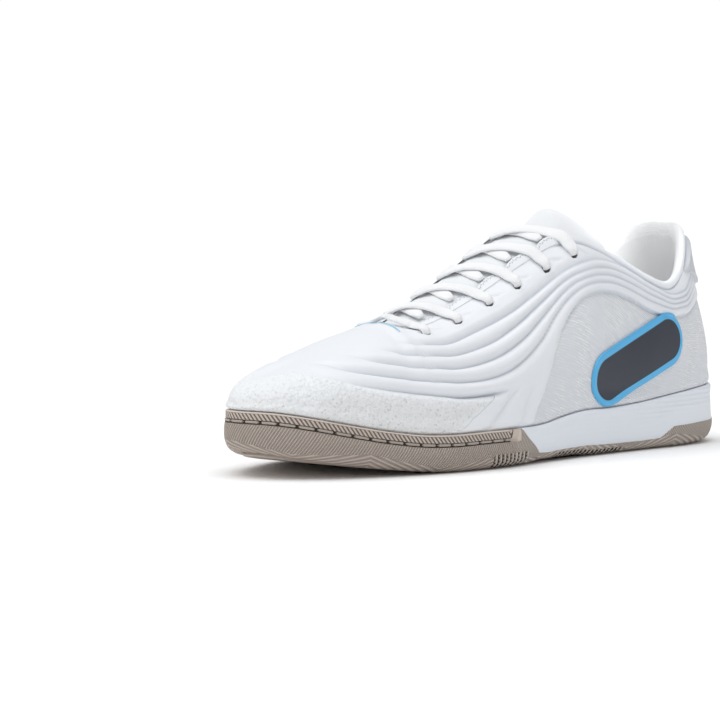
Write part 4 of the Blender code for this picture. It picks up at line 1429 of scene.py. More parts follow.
@dataclass
class Sole:
    """The rubber sole with its ribbed side, and the foam midsole above it."""

    columns: int = 1320
    cup_wall: float = 0.0050
    spine_inset: float = 0.0070
    line_depth: float = 0.0010
    foam_under: int = 3
    foam_wall: int = 20
    foam_rows: int = 30
    stitch: float = 0.0080
    thread_from: float = 0.600
    tooth_depth: float = 0.0022
    tooth_lean: float = 0.35

    def __post_init__(self) -> None:
        """Lays out the rows: underside, side, top, and back to the middle inside."""
        self.under = 8
        self.wall = 44
        self.over = 6
        self.rows = self.under + self.wall + self.over
        around = np.linspace(0, 2, 4001)
        points, _ = FORM.outline(around)
        steps = np.linalg.norm(np.diff(points, axis=0), axis=1)
        self.arc = (around, np.concatenate([[0.0], np.cumsum(steps)]))

    def length_at(self, u: Array) -> Array:
        """Metres around the sole at u."""
        return np.interp(u, *self.arc)

    def inset(self, u: Array, height: Array, x: Array) -> Array:
        """How far inside the outline the side wall is at a height above the ground.

        Args:
            u: Places around the shoe.
            height: Heights there.
            x: Places along the shoe.

        Returns:
            Metres.
        """
        up = height - FORM.ground(x)
        low = np.interp(up, [0, 0.0005, 0.0014, 0.0026, 0.0042, 0.0062, 0.0080],
                        [0.0070, 0.0046, 0.0030, 0.0016, 0.0008, 0.0002, 0.0])
        drop = FORM.rim(u) - height
        return low + 0.0004 * ease(0.008, 0.004, drop) + 0.0005 * ease(0.001, 0.0, drop)

    def groove(self, u: Array, height: Array) -> Array:
        """The stitched groove under the rim in the forefoot, 0 to 1.

        Args:
            u: Places around the shoe.
            height: Heights there.

        Returns:
            Shares from 0 to 1.
        """
        drop = FORM.rim(u) - height
        t, _ = FORM.fold(u)
        here = ease(0.0033, 0.0037, drop) * ease(0.0049, 0.0045, drop)
        return here * ease(0.575, 0.60, t)

    def tooth_zone(self, u: Array, up: Array) -> Array:
        """The two runs of slots at the lower edge of the waist, 0 to 1.

        Args:
            u: Places around the shoe.
            up: Heights above the ground.

        Returns:
            Shares from 0 to 1.
        """
        t, _ = FORM.fold(u)
        waist = ease(0.340, 0.350, t) * ease(0.492, 0.480, t)
        run = waist + ease(0.555, 0.56, t) * ease(0.632, 0.625, t)
        tall = 0.0031 + 0.0035 * ease(0.55, 0.56, t)
        return run * ease(tall, tall - 0.0008, up)

    def tooth(self, u: Array, up: Array) -> Array:
        """The slots between the teeth at the lower edge of the waist, 0 to 1.

        Args:
            u: Places around the shoe.
            up: Heights above the ground.

        Returns:
            Shares from 0 to 1.
        """
        lean = np.where(np.mod(u, 2.0) < 1, -self.tooth_lean, self.tooth_lean) * up
        phase = np.mod((self.length_at(np.mod(u, 2.0)) + lean) / TOOTH_PITCH, 1.0)
        slot = ease(0.28, 0.40, phase) * ease(0.84, 0.72, phase)
        return slot * self.tooth_zone(u, up)

    def sections(self, s: Array, r: Array) -> tuple[Array, Array, Array, Array]:
        """What all of the sole's functions share: u, row, top height and the share of a row.

        Args:
            s, r: Shares around and across.

        Returns:
            The four of them.
        """
        u = 2 * s
        row = r * self.rows
        top = np.minimum(FORM.rubber_line(u), FORM.rim(u))
        share = np.clip((row - self.under) / self.wall, 0, 1)
        return u, row, top, share

    def place(self, s: Array, r: Array) -> Array:
        """Points of the rubber's section around the shoe.

        Args:
            s, r: Shares around and across.

        Returns:
            The points.
        """
        u, row, top, share = self.sections(s, r)
        edge, outward = FORM.outline(u)
        low = FORM.ground(edge[:, 0])
        shape = share ** 1.15
        height = low + (top - low) * shape
        inset = self.inset(u, height, edge[:, 0])
        inset = inset + self.line_depth * self.groove(u, height)
        inset = inset + self.tooth_depth * self.tooth(u, height - low)
        t, _ = FORM.fold(u)
        drop = FORM.rim(u) - height
        rope = ease(0.0006, 0.0009, drop) * ease(0.0036, 0.0031, drop) * ease(0.575, 0.60, t)
        inset = inset + 0.00025 * rope
        plan = edge - outward * inset[:, None]
        points = stand(plan, height)
        spine = FORM.spine(u, self.spine_inset)
        under = np.clip(row / self.under, 0, 1)[:, None]
        flat = spine + (edge - outward * self.spine_inset - spine) * under
        bottom = stand(flat, FORM.ground(flat[:, 0]))
        in_rim = FORM.rim_wall + FORM.foot_tuck
        forefoot = FORM.rubber_line(u) > FORM.rim(u)
        over = row - self.under - self.wall
        ring_1 = edge - outward * np.where(forefoot, FORM.rim_wall, self.cup_wall)[:, None]
        ring_2 = edge - outward * np.where(forefoot, in_rim, self.cup_wall)[:, None]
        level = np.where(forefoot, FORM.deck(edge[:, 0]), top)
        first, second = stand(ring_1, top), stand(ring_2, level)
        last_z = np.minimum(FORM.deck(spine[:, 0]), np.minimum(top, level))
        last = stand(spine, last_z)
        found = np.where((row < self.under)[:, None], bottom, points)
        found = np.where((over > 0.5)[:, None], first, found)
        found = np.where((over > 1.5)[:, None], second, found)
        part = np.clip((over - 2) / (self.over - 2), 0, 1)[:, None]
        return np.where((over > 2.5)[:, None], second + (last - second) * part, found)

    def chart(self, s: Array, r: Array) -> Array:
        """Metres around the sole and up its wall.

        Args:
            s, r: Shares around and across.

        Returns:
            Along and up.
        """
        u, row, top, share = self.sections(s, r)
        low = FORM.ground(FORM.outline(u)[0][:, 0])
        up = (top - low) * share + (row - self.under).clip(None, 0) * 0.005
        return np.stack([self.length_at(u), up], 1)

    def height(self, s: Array, r: Array) -> tuple[Array, Array]:
        """The height at a place of the side, and u there."""
        u, _, top, share = self.sections(s, r)
        low = FORM.ground(FORM.outline(u)[0][:, 0])
        return u, low + (top - low) * share ** 1.15

    def teeth(self, s: Array, r: Array) -> Array:
        """Where the slots between the teeth are cut, 0 to 1."""
        u, height = self.height(s, r)
        return self.tooth_zone(u, height - FORM.ground(FORM.outline(u)[0][:, 0]))

    def lean(self, s: Array, r: Array) -> Array:
        """How the slots lean, which is mirrored on the inner side."""
        return np.where(s < 0.5, -self.tooth_lean, self.tooth_lean)

    def drop(self, s: Array, r: Array) -> Array:
        """Metres below the rim in the forefoot; elsewhere more than any line of it needs, which
        also marks where light is painted on the rubber behind the forefoot.
        """
        u, height = self.height(s, r)
        t, _ = FORM.fold(u)
        return FORM.rim(u) - height + 0.02 * ease(0.60, 0.575, t)

    def thread_place(self, s: Array, r: Array) -> Array:
        """Points of the thread that lies in the stitched groove, pinched at each hole.

        Args:
            s, r: Shares around and across.

        Returns:
            The points.
        """
        u = self.thread_from + (2 - 2 * self.thread_from) * s
        along = self.length_at(u)
        rest = np.mod(along, self.stitch)
        ends = np.minimum(rest, self.stitch - rest)
        full = np.sqrt(np.clip((ends - 0.0005) / 0.0006, 0.0, 1.0))
        radius = 0.00052 * full + 0.00004
        turn = 2 * math.pi * r
        edge, outward = FORM.outline(u)
        height = FORM.rim(u) - 0.00415 + radius * np.sin(turn)
        inset = 0.0004 + self.line_depth * (1.15 - 0.75 * full) - radius * np.cos(turn)
        return stand(edge - outward * inset[:, None], height)

    def side(self, s: Array, r: Array) -> Array:
        """Where the rubber's side carries ribs.

        Args:
            s, r: Shares around and across.

        Returns:
            Shares from 0 to 1.
        """
        u, height = self.height(s, r)
        t, _ = FORM.fold(u)
        drop = FORM.rim(u) - height
        ribbed = np.where(t > 0.575, ease(0.0048, 0.0053, drop), 1.0)
        return ribbed * (r * self.rows > self.under - 0.5)

    def foam_place(self, s: Array, r: Array) -> Array:
        """Points of the foam's section: from inside the rubber, up its wall and over the deck.

        Args:
            s, r: Shares around and across.

        Returns:
            The points.
        """
        u = 2 * s
        row = r * self.foam_rows
        t, _ = FORM.fold(u)
        edge, outward = FORM.outline(u)
        hidden = ease(0.575, 0.59, t)
        rim = FORM.rim(u) - 0.0012 * hidden
        low = np.minimum(FORM.rubber_line(u), rim - 0.002) - 0.0006
        share = np.clip((row - self.foam_under) / self.foam_wall, 0, 1)
        height = low + (rim - low) * share
        hollow = 0.0006 * np.sin(math.pi * share) * ease(0.50, 0.42, t)
        inset = self.inset(u, height, edge[:, 0]) + 0.00015 + 0.0012 * hidden + hollow
        side = stand(edge - outward * inset[:, None], height)
        spine = FORM.spine(u, self.spine_inset)
        under = np.clip(row / self.foam_under, 0, 1)[:, None]
        first = stand(spine + (side[:, :2] - spine) * under, low)
        ring = edge - outward * FORM.rim_wall
        rim_in = stand(ring, rim)
        ring = edge - outward * (FORM.rim_wall + FORM.foot_tuck)
        deck = stand(ring, FORM.deck(ring[:, 0]))
        last = stand(spine, FORM.deck(spine[:, 0]))
        over = row - self.foam_under - self.foam_wall
        found = np.where((row < self.foam_under)[:, None], first, side)
        found = np.where((over > 0.5)[:, None], rim_in, found)
        part = np.clip((over - 2) / 5, 0, 1)[:, None]
        return np.where((over > 1.5)[:, None], deck + (last - deck) * part, found)

    def lined(self, s: Array, r: Array) -> Array:
        """Where the foam's wall carries its fine lines: on the heel, in the upper half."""
        t, _ = FORM.fold(2 * s)
        return 0.15 + 0.85 * ease(0.34, 0.24, t) * ease(12.0, 15.0, r * self.foam_rows)

    def foam_chart(self, s: Array, r: Array) -> Array:
        """Metres around the foam and up its wall."""
        return np.stack([self.length_at(2 * s), self.foam_place(s, r)[:, 2]], 1)

    def build(self) -> list[bpy.types.Object]:
        """Builds the rubber and the foam.

        Returns:
            The finished objects.
        """
        marks = {"teeth": self.teeth, "lean": self.lean, "side": self.side, "drop": self.drop}
        rubber = GridPiece(
            "sole_rubber", self.columns, self.rows, self.place, self.chart, marks, sharp=60.0,
        ).make([RubberFinish().make()])
        thread = GridPiece(
            "sole_thread", 900, 8, self.thread_place,
            lambda s, r: np.stack([s * 0.4, r * 0.003], 1), sharp=80.0,
        ).make([PlainFinish("sole_thread_cream", (0.42, 0.36, 0.31), 0.8, 0.0001).make()])
        foam = GridPiece(
            "sole_foam", 480, self.foam_rows, self.foam_place, self.foam_chart,
            {"lined": self.lined},
        ).make([FoamFinish().make()])
        return [
            settle(rubber, Slot.RUBBER, "outsole"),
            settle(thread, Slot.RUBBER),
            settle(foam, Slot.FOAM, "midsole"),
        ]


@dataclass
class Insole:
    """The insole on the deck, with a soft crowned top."""

    thickness: float = 0.0040
    rows: int = 26

    def place(self, s: Array, r: Array) -> Array:
        """Points of the insole: underside, edge and top.

        Args:
            s, r: Shares around and across.

        Returns:
            The points.
        """
        u = 2 * s
        row = r * self.rows
        edge = FORM.rim_wall + FORM.foot_tuck + FORM.upper_wall + 3 * FORM.fit_gap
        outline, outward = FORM.outline(u, edge)
        spine = FORM.spine(u, edge)
        share = np.where(row <= 4, row / 4, np.clip((self.rows - row) / (self.rows - 8), 0, 1))
        plan = spine + (outline - spine) * share[:, None]
        turn = np.clip((row - 4) / 4, 0, 1) * math.pi / 2
        plan = plan - outward * (0.0012 * (1 - np.cos(turn)))[:, None]
        low = FORM.deck(plan[:, 0]) + 2 * FORM.fit_gap
        cup = 0.0012 * share**4 * (row > 8)
        height = low + (self.thickness - 2 * FORM.fit_gap - 0.0012) * np.sin(turn) + cup
        return stand(plan, height)

    def chart(self, s: Array, r: Array) -> Array:
        """Metres along and across the shoe."""
        return self.place(s, r)[:, :2]

    def build(self) -> bpy.types.Object:
        """Builds the insole.

        Returns:
            The finished object.
        """
        tone, light = (0.88, 0.89, 0.90), (0.93, 0.94, 0.95)
        finish = ClothFinish("insole_cloth", tone, light, 0.0009, 0.00015)
        piece = GridPiece("insole_pad", 240, self.rows, self.place, self.chart)
        return settle(piece.make([finish.make()]), Slot.KNIT, "insole")


@dataclass
class Tongue:
    """The padded tongue, under the throat and out at the collar."""

    thickness: float = 0.0040
    swell: tuple[float, float] = (0.0036, 0.0024)
    sink: float = 0.0018
    places: tuple[float, ...] = (0.74, 0.72, 0.70, 0.66, 0.62, 0.57, 0.52, 0.47, 0.44)
    levels: int = 3

    def row_at(self, t: float) -> list[Array]:
        """Top side of the tongue under the throat at t, from the outer to the inner side.

        Args:
            t: Shares of the way from heel to toe.

        Returns:
            One point for each column.
        """
        wing = (0.84, 0.88, 0.92, 0.96) if t >= THROAT_FRONT else (0.84, 0.90, 0.96)
        clear = 3 * FORM.fit_gap

        def inside(u: float, v: float) -> Array:
            """A point under the upper's wall."""
            u, v = np.array(u), np.array(v)
            return FORM.base(u, v) - FORM.normal(u, v) * (FORM.wall(u, v) + clear)

        outer = [inside(t, v) for v in wing]
        inner = [inside(2 - t, v) for v in reversed(wing)]
        if t >= THROAT_FRONT:
            return outer + [inside(t, 1.0)] + inner
        out = FORM.mean_normal(t)
        full = 1 - float(ease(0.67, 0.715, t))
        middle = []
        for share in (-0.80, 0.0, 0.80):
            level = self.swell[abs(share) > 0] * full - self.sink * (1 - full)
            middle.append(FORM.span(t, share, 0.0) + out * level)
        return outer + middle + inner

    @staticmethod
    def free_row(x: float, z: float, half: float, drop: float, lean: float) -> list[Array]:
        """Top side of the tongue in a row of TONGUE_TOP, whose columns these are."""
        x, half = x * FORM.length, half * FORM.heel_width / 2
        middle = float(FORM.middle(np.array(x)))
        return [
            np.array([x - lean * s * s, middle - s * half, z * FORM.instep_height - drop * s * s])
            for s in np.linspace(-1, 1, 9)
        ]

    def build(self) -> bpy.types.Object:
        """Builds the tongue.

        Returns:
            The finished object.
        """
        rows = [self.row_at(t) for t in self.places] + [self.free_row(*row) for row in TONGUE_TOP]
        top = np.array([row if row[0][1] > row[-1][1] else row[::-1] for row in rows])
        along = np.gradient(top, axis=0)
        across = np.gradient(top, axis=1)
        out = unit(np.cross(across, along))
        out = out * np.sign(out[..., 2:3])
        low = top - out * self.thickness
        bm = bmesh.new()
        bmesh.ops.create_grid(bm, x_segments=len(top) - 1, y_segments=8, size=0.5)
        shares = [(v.co.x + 0.5, v.co.y + 0.5) for v in bm.verts]
        picks = [(round(s * (len(top) - 1)), round(r * 8)) for s, r in shares]
        grown = bmesh.ops.extrude_face_region(bm, geom=bm.faces[:], use_keep_orig=True)
        lower = [item for item in grown["geom"] if isinstance(item, bmesh.types.BMVert)]
        bm.verts.ensure_lookup_table()
        for vert in lower:
            i, j = round((vert.co.x + 0.5) * (len(top) - 1)), round((vert.co.y + 0.5) * 8)
            vert.co = FORM.place(low[i, j])
        for vert, (i, j) in zip(list(bm.verts)[: len(picks)], picks):
            vert.co = FORM.place(top[i, j])
        bmesh.ops.recalc_face_normals(bm, faces=bm.faces)
        layer = bm.loops.layers.uv.new("chart")
        for face in bm.faces:
            for loop in face.loops:
                loop[layer].uv = (loop.vert.co.x, loop.vert.co.y)
        mesh = bpy.data.meshes.new("tongue_pad")
        bm.to_mesh(mesh)
        bm.free()
        made = bpy.data.objects.new("tongue_pad", mesh)
        bpy.context.collection.objects.link(made)
        soft = made.modifiers.new("soft", "SUBSURF")
        soft.levels = soft.render_levels = self.levels
        mesh.shade_smooth()
        tone, light = (0.82, 0.835, 0.86), (0.90, 0.91, 0.925)
        finish = ClothFinish("tongue_cloth", tone, light, 0.0008, 0.00010)
        mesh.materials.append(finish.make())
        settle(made, Slot.TONGUE, "tongue")
        return made


@dataclass
class Laces:
    """The flat laces: the front bar and five crossings."""

    width: float = 0.0060
    thickness: float = 0.0017
    rise: float = 0.0013
    crown: float = 0.0030
    bar: float = 0.712
    lying: float = 0.85

    def path(
        self, start: tuple[float, float], end: tuple[float, float], side: int, lift: float,
    ) -> tuple[Array, Array]:
        """Points of a lace from inside the throat, across it, and into an eyelet.

        Args:
            start: t and the share across at its hidden end.
            end: t and place on the rib of the eyelet.
            side: 1 to the outer side, -1 to the inner one.
            lift: How much higher it rides than the one that it crosses.

        Returns:
            The points and the directions out of the shoe there.
        """
        (t0, s0), (t1, v1) = start, end
        points, ups = [], []
        for i in range(7):
            part = i / 6
            share = s0 + (1.0 - s0) * part
            t = t0 + (t1 - t0) * part * self.lying
            up = FORM.mean_normal(t)
            edge = float(ease(0.55, 1.0, abs(share)))
            rise = self.rise + lift * (1 - part) * part * 4
            point = FORM.span(t, -share * side, self.crown)
            out = FORM.normal(np.array(t if side * share > 0 else 2 - t), 1.0)
            up = unit(up * (1 - edge) + out * edge)
            points.append(point + up * rise)
            ups.append(up)
        for v, dip in ((0.95, 0.0), (v1 + 0.022, 0.0), (v1 + 0.003, 0.0006), (v1 - 0.009, 0.0026)):
            part = (1.0 - v) / (1.0 - v1)
            u = t0 + (t1 - t0) * (self.lying + (1 - self.lying) * part)
            u = np.array(u if side > 0 else 2 - u)
            out = FORM.normal(u, v)
            lift_here = max(float(FORM.relief(u, v)), 0.0) + self.thickness / 2 + 0.0004 - dip
            points.append(FORM.base(u, v) + out * lift_here)
            ups.append(out)
        return np.array(points), np.array(ups)

    def band(
        self, name: str, points: Array, ups: Array, finish: bpy.types.Material,
    ) -> bpy.types.Object:
        """Lays a flat oval cord along a path.

        Args:
            name: The piece's name.
            points: Its path.
            ups: Directions out of its flat side.
            finish: Its material.

        Returns:
            The finished object.
        """
        steps = np.linalg.norm(np.diff(points, axis=0), axis=1)
        far = np.concatenate([[0.0], np.cumsum(steps)])
        line = SmoothTable(far, points)
        upward = SmoothTable(far, ups)
        total = far[-1]

        def place(s: Array, r: Array) -> Array:
            """Points of the cord's surface, whose ends are pinched."""
            where = s * total
            middle = line.at(where)
            ahead, behind = np.minimum(where + 2e-4, total), np.maximum(where - 2e-4, 0)
            along = unit(line.at(ahead) - line.at(behind))
            across = unit(np.cross(along, upward.at(where)))
            lift = np.cross(across, along)
            turn = 2 * math.pi * r
            ends = np.minimum(where, total - where)
            narrow = 0.62 + 0.38 * ease(0.0, 0.006, ends)
            narrow = narrow * np.sqrt(np.clip(ends / 0.0004, 0.0, 1.0))
            c, w = np.cos(turn), np.sin(turn)
            c = np.sign(c) * np.abs(c) ** 0.75
            w = np.sign(w) * np.abs(w) ** 0.85
            wide = self.width / 2 * narrow * c
            fuller = 0.85 + 0.15 / np.maximum(narrow, 0.3)
            thick = self.thickness / 2 * fuller * w * np.minimum(1, narrow * 2)
            return middle + across * wide[:, None] + lift * thick[:, None]

        def chart(s: Array, r: Array) -> Array:
            """Metres along and across the cord."""
            return np.stack([s * total, np.cos(2 * math.pi * r) * self.width / 2], 1)

        columns = max(24, int(total / 0.0006))
        return GridPiece(name, columns, 20, place, chart, sharp=80.0).make([finish])

    def build(self) -> list[bpy.types.Object]:
        """Builds the bar and the crossings.

        Returns:
            The finished objects.
        """
        finish = LaceFinish().make()
        t, v = EYELETS[0]
        outer = self.path((self.bar, 0.0), (t, v), 1, 0.0)
        inner = self.path((self.bar, 0.0), (t, v), -1, 0.0)
        points = np.concatenate([inner[0][:0:-1], outer[0]])
        ups = np.concatenate([inner[1][:0:-1], outer[1]])
        made = [settle(self.band("lace_bar_cord", points, ups, finish), Slot.LACE, "lace_bar")]
        for k, (low, high) in enumerate(zip(EYELETS, EYELETS[1:])):
            start = low[0] + 0.4 * (high[0] - low[0])
            for side, word in ((1, "over"), (-1, "under")):
                lift = self.thickness * (1.0 if side > 0 else 0.0)
                path = self.path((start, -0.8), high, side, lift)
                band = self.band(f"lace_{word}_{k + 1}", *path, finish)
                nodes = [f"lace_crossing_{k + 1}"] if side > 0 else []
                made.append(settle(band, Slot.LACE, *nodes))
        return made


@dataclass
class ThroatTrim:
    """The scalloped strip along the throat's edge, sewn with a zigzag seam."""

    thickness: float = 0.0003
    low: float = 0.975
    reach: float = 0.0028
    margin: float = 0.0004
    front: float = 0.712
    rear: float = 0.452

    def lobe(self, t: Array) -> Array:
        """How far a lobe of the strip stands into the throat, 0 to 1.

        Args:
            t: Shares of the way from heel to toe.

        Returns:
            Shares from 0 to 1.
        """
        places = np.array([t1 for t1, _ in EYELETS][::-1])
        phase = np.interp(t, places, np.arange(len(places)))
        round_part = np.sqrt(np.clip(1 - (2.5 * (np.mod(phase, 1.0) - 0.5)) ** 2, 0.0, 1.0))
        return np.where((t < places[-1]) & (t > places[0]), round_part, 0.0)

    def edge_distance(self, s: Array, r: Array) -> Array:
        """Metres to the strip's inner edge.

        Args:
            s, r: Shares around and across.

        Returns:
            The distances.
        """
        _, across = two_faces(r)
        t = self.front + (self.rear - self.front) * s
        beyond = self.margin + self.reach * self.lobe(t)
        inner = (1 - self.low) * FORM.per_v
        return np.where(across < 0.5, inner * (1 - 2 * across) + beyond, beyond * (2 - 2 * across))

    def place(self, side: int, s: Array, r: Array) -> Array:
        """Points of both faces of the strip.

        Args:
            side: 1 for the outer edge of the throat, -1 for the inner one.
            s: Shares along the strip, from the toe back.
            r: Shares around its section.

        Returns:
            The points.
        """
        top, across = two_faces(r)
        t = self.front + (self.rear - self.front) * s
        u = t if side > 0 else 2 - t
        v = np.minimum(self.low + (1 - self.low) * 2 * across, 1.0)
        point, out = FORM.base(u, v), FORM.normal(u, v)
        inward = unit(FORM.base(u, np.ones_like(u)) - FORM.base(u, np.full_like(u, 0.97)))
        far = np.maximum(2 * across - 1, 0.0) * (self.margin + self.reach * self.lobe(t))
        ends = np.minimum(np.minimum(s, 1 - s) / 0.02, np.minimum(across, 1 - across) / 0.12)
        under = np.maximum(FORM.relief(u, v), 0.0) + 0.0001
        height = under + np.where(top, self.thickness * quarter_round(ends), 0.0) - 0.10 * far
        return point + inward * far[:, None] + out * height[:, None]

    def build(self) -> list[bpy.types.Object]:
        """Builds the strip on both sides.

        Returns:
            The finished objects.
        """
        finish = TrimFinish().make()
        made = []
        for side, word in ((1, "outer"), (-1, "inner")):
            piece = GridPiece(
                f"throat_trim_{word}", 260, 32, lambda s, r, side=side: self.place(side, s, r),
                lambda s, r: np.stack([s * 0.085, r * 0.01], 1), {"edge": self.edge_distance},
                sharp=70.0,
            )
            made.append(settle(piece.make([finish]), Slot.UPPER))
        return made


@dataclass
class Overlay:
    """A thin piece that lies on the upper's outer surface."""

    name: str
    columns: int
    rows: int
    spot: Callable[[Array, Array], tuple[Array, Array]]
    thickness: float
    soft: float = 0.12
    bed: Optional[float] = None
    hem: float = 0.0

    def place(self, s: Array, r: Array) -> Array:
        """Points of both sides: the lower half of the rows is the underside.

        Args:
            s, r: Shares around and across.

        Returns:
            The points.
        """
        top, across = two_faces(r)
        u, v = self.spot(s, across)
        out = FORM.normal(u, v)
        under = FORM.fit_gap + np.maximum(FORM.relief(u, v), 0.0)
        edge = np.minimum(np.minimum(s, 1 - s), np.minimum(across, 1 - across)) / self.soft
        dome = quarter_round(edge)
        if self.bed is not None:
            low = np.maximum(FORM.relief(u, v), 0.0) + 0.00003
            under = low + (FORM.fit_gap + self.bed - low) * dome
        bead = self.hem * np.exp(-((across - 0.09) / 0.06) ** 2)
        height = under + np.where(top, (self.thickness + bead) * dome, 0.0)
        return FORM.base(u, v) + out * height[:, None]

    def make(
        self,
        finish: bpy.types.Material,
        size: tuple[float, float],
        marks: Optional[dict[str, Callable[[Array, Array], Array]]] = None,
    ) -> bpy.types.Object:
        """Builds the piece.

        Args:
            finish: Its material.
            size: Metres along and around it, for its chart.
            marks: The attributes that its material reads.

        Returns:
            The finished object.
        """
        def chart(s: Array, r: Array) -> Array:
            """Metres along and across the piece."""
            return np.stack([s * size[0], r * size[1]], 1)

        grid = GridPiece(
            self.name, self.columns, self.rows, self.place, chart, marks or {}, sharp=70.0,
        )
        return grid.make([finish])


@dataclass
class HeelTab:
    """The tab on the back of the heel."""

    reach: float = 0.188
    turn: float = 0.095
    foot: float = 0.652
    top: float = 0.962
    thickness: float = 0.0009
    hem: float = 0.0003
    bed: float = 0.0012

    def spot(self, s: Array, r: Array) -> tuple[Array, Array]:
        """Place on the upper at shares along and up the tab.

        Args:
            s, r: Shares around and across.

        Returns:
            Places around the shoe and on the ribs.
        """
        t = np.abs(2 * s - 1) * self.reach
        climb = np.clip((t - self.turn) / (self.reach - self.turn), 0.0, 1.0) ** 1.3
        low = self.foot + (self.top - 0.014 - self.foot) * climb
        return (2 * s - 1) * self.reach, low + (self.top - low) * r

    def build(self) -> bpy.types.Object:
        """Builds the tab."""
        overlay = Overlay(
            "heel_tab_pad", 110, 70, self.spot, self.thickness, 0.06, self.bed, self.hem,
        )
        finish = PlainFinish("heel_tab_leather", (0.62, 0.64, 0.675), 0.6)
        return settle(overlay.make(finish.make(), (0.08, 0.04)), Slot.UPPER, "heel_tab")


@dataclass
class ThroatLine:
    """The thin blue line across the vamp in front of the throat."""

    place: float = 0.727
    width: float = 0.0020
    reach: float = 0.20

    def spot(self, s: Array, r: Array) -> tuple[Array, Array]:
        """Place on the upper at shares across the vamp and along it."""
        across = 2 * s - 1
        t = self.place + self.width * r
        return np.where(across > 0, 2 - t, t), 1 - self.reach * np.abs(across)

    def build(self) -> bpy.types.Object:
        """Builds the line."""
        overlay = Overlay("throat_line", 60, 12, self.spot, 0.0003, 0.1)
        finish = PlainFinish("throat_line_blue", (0.42, 0.70, 0.90), 0.5)
        return settle(overlay.make(finish.make(), (0.024, 0.001)), Slot.UPPER)


@dataclass
class SidePanel:
    """The plain bar with round ends on the outer side of the heel quarter."""

    middle: float = 0.270
    rise: float = 0.0139
    tilt: float = 19.0
    length: float = 0.070
    height: float = 0.024
    thickness: float = 0.0009

    def locate(self, x: Array, z: Array) -> tuple[Array, Array]:
        """The places (u, v) at which the upper's base surface is at x and z.

        Args:
            x, z: Where the points are, seen from the side.

        Returns:
            Places around the shoe and on the ribs.
        """
        u, v = 0.06 + x / FORM.length, z / FORM.instep_height
        step = 1e-3
        for _ in range(9):
            here = FORM.base(u, v)
            by_u = (FORM.base(u + step, v) - here) / step
            by_v = (FORM.base(u, v + step) - here) / step
            miss_x, miss_z = x - here[..., 0], z - here[..., 2]
            scale = by_u[..., 0] * by_v[..., 2] - by_v[..., 0] * by_u[..., 2]
            u = u + (miss_x * by_v[..., 2] - by_v[..., 0] * miss_z) / scale
            v = v + (by_u[..., 0] * miss_z - miss_x * by_u[..., 2]) / scale
        return u, v

    def flat(self, s: Array, r: Array) -> tuple[Array, Array]:
        """Metres along and across the bar at shares of it.

        Args:
            s, r: Shares around and across.

        Returns:
            The two lengths.
        """
        radius = self.height / 2
        across = -radius * np.cos(math.pi * r)
        reach = self.length / 2 - radius + np.sqrt(np.maximum(radius**2 - across**2, 0.0))
        return reach * (2 * s - 1), across

    def spot(self, s: Array, r: Array) -> tuple[Array, Array]:
        """Place on the upper at shares along and across the bar.

        Args:
            s, r: Shares around and across.

        Returns:
            Places around the shoe and on the ribs.
        """
        along, across = self.flat(s, r)
        turn = math.radians(self.tilt)
        x = self.middle * FORM.length + along * math.cos(turn) + across * math.sin(turn)
        z = FORM.side_height + self.rise - along * math.sin(turn) + across * math.cos(turn)
        return self.locate(x, z)

    def rim(self, s: Array, r: Array) -> Array:
        """Distance from the bar's edge in metres.

        Args:
            s, r: Shares around and across.

        Returns:
            The distances.
        """
        along, across = self.flat(s, two_faces(r)[1])
        radius = self.height / 2
        straight = self.length / 2 - radius
        beyond = np.maximum(np.abs(along) - straight, 0.0)
        return np.maximum(radius - np.hypot(beyond, across), 0.0)

    def build(self) -> bpy.types.Object:
        """Builds the bar."""
        overlay = Overlay("side_panel_film", 120, 96, self.spot, self.thickness, 0.03)
        made = overlay.make(FilmFinish().make(), (self.length, self.height), {"rim": self.rim})
        return settle(made, Slot.FILM, "side_panel")


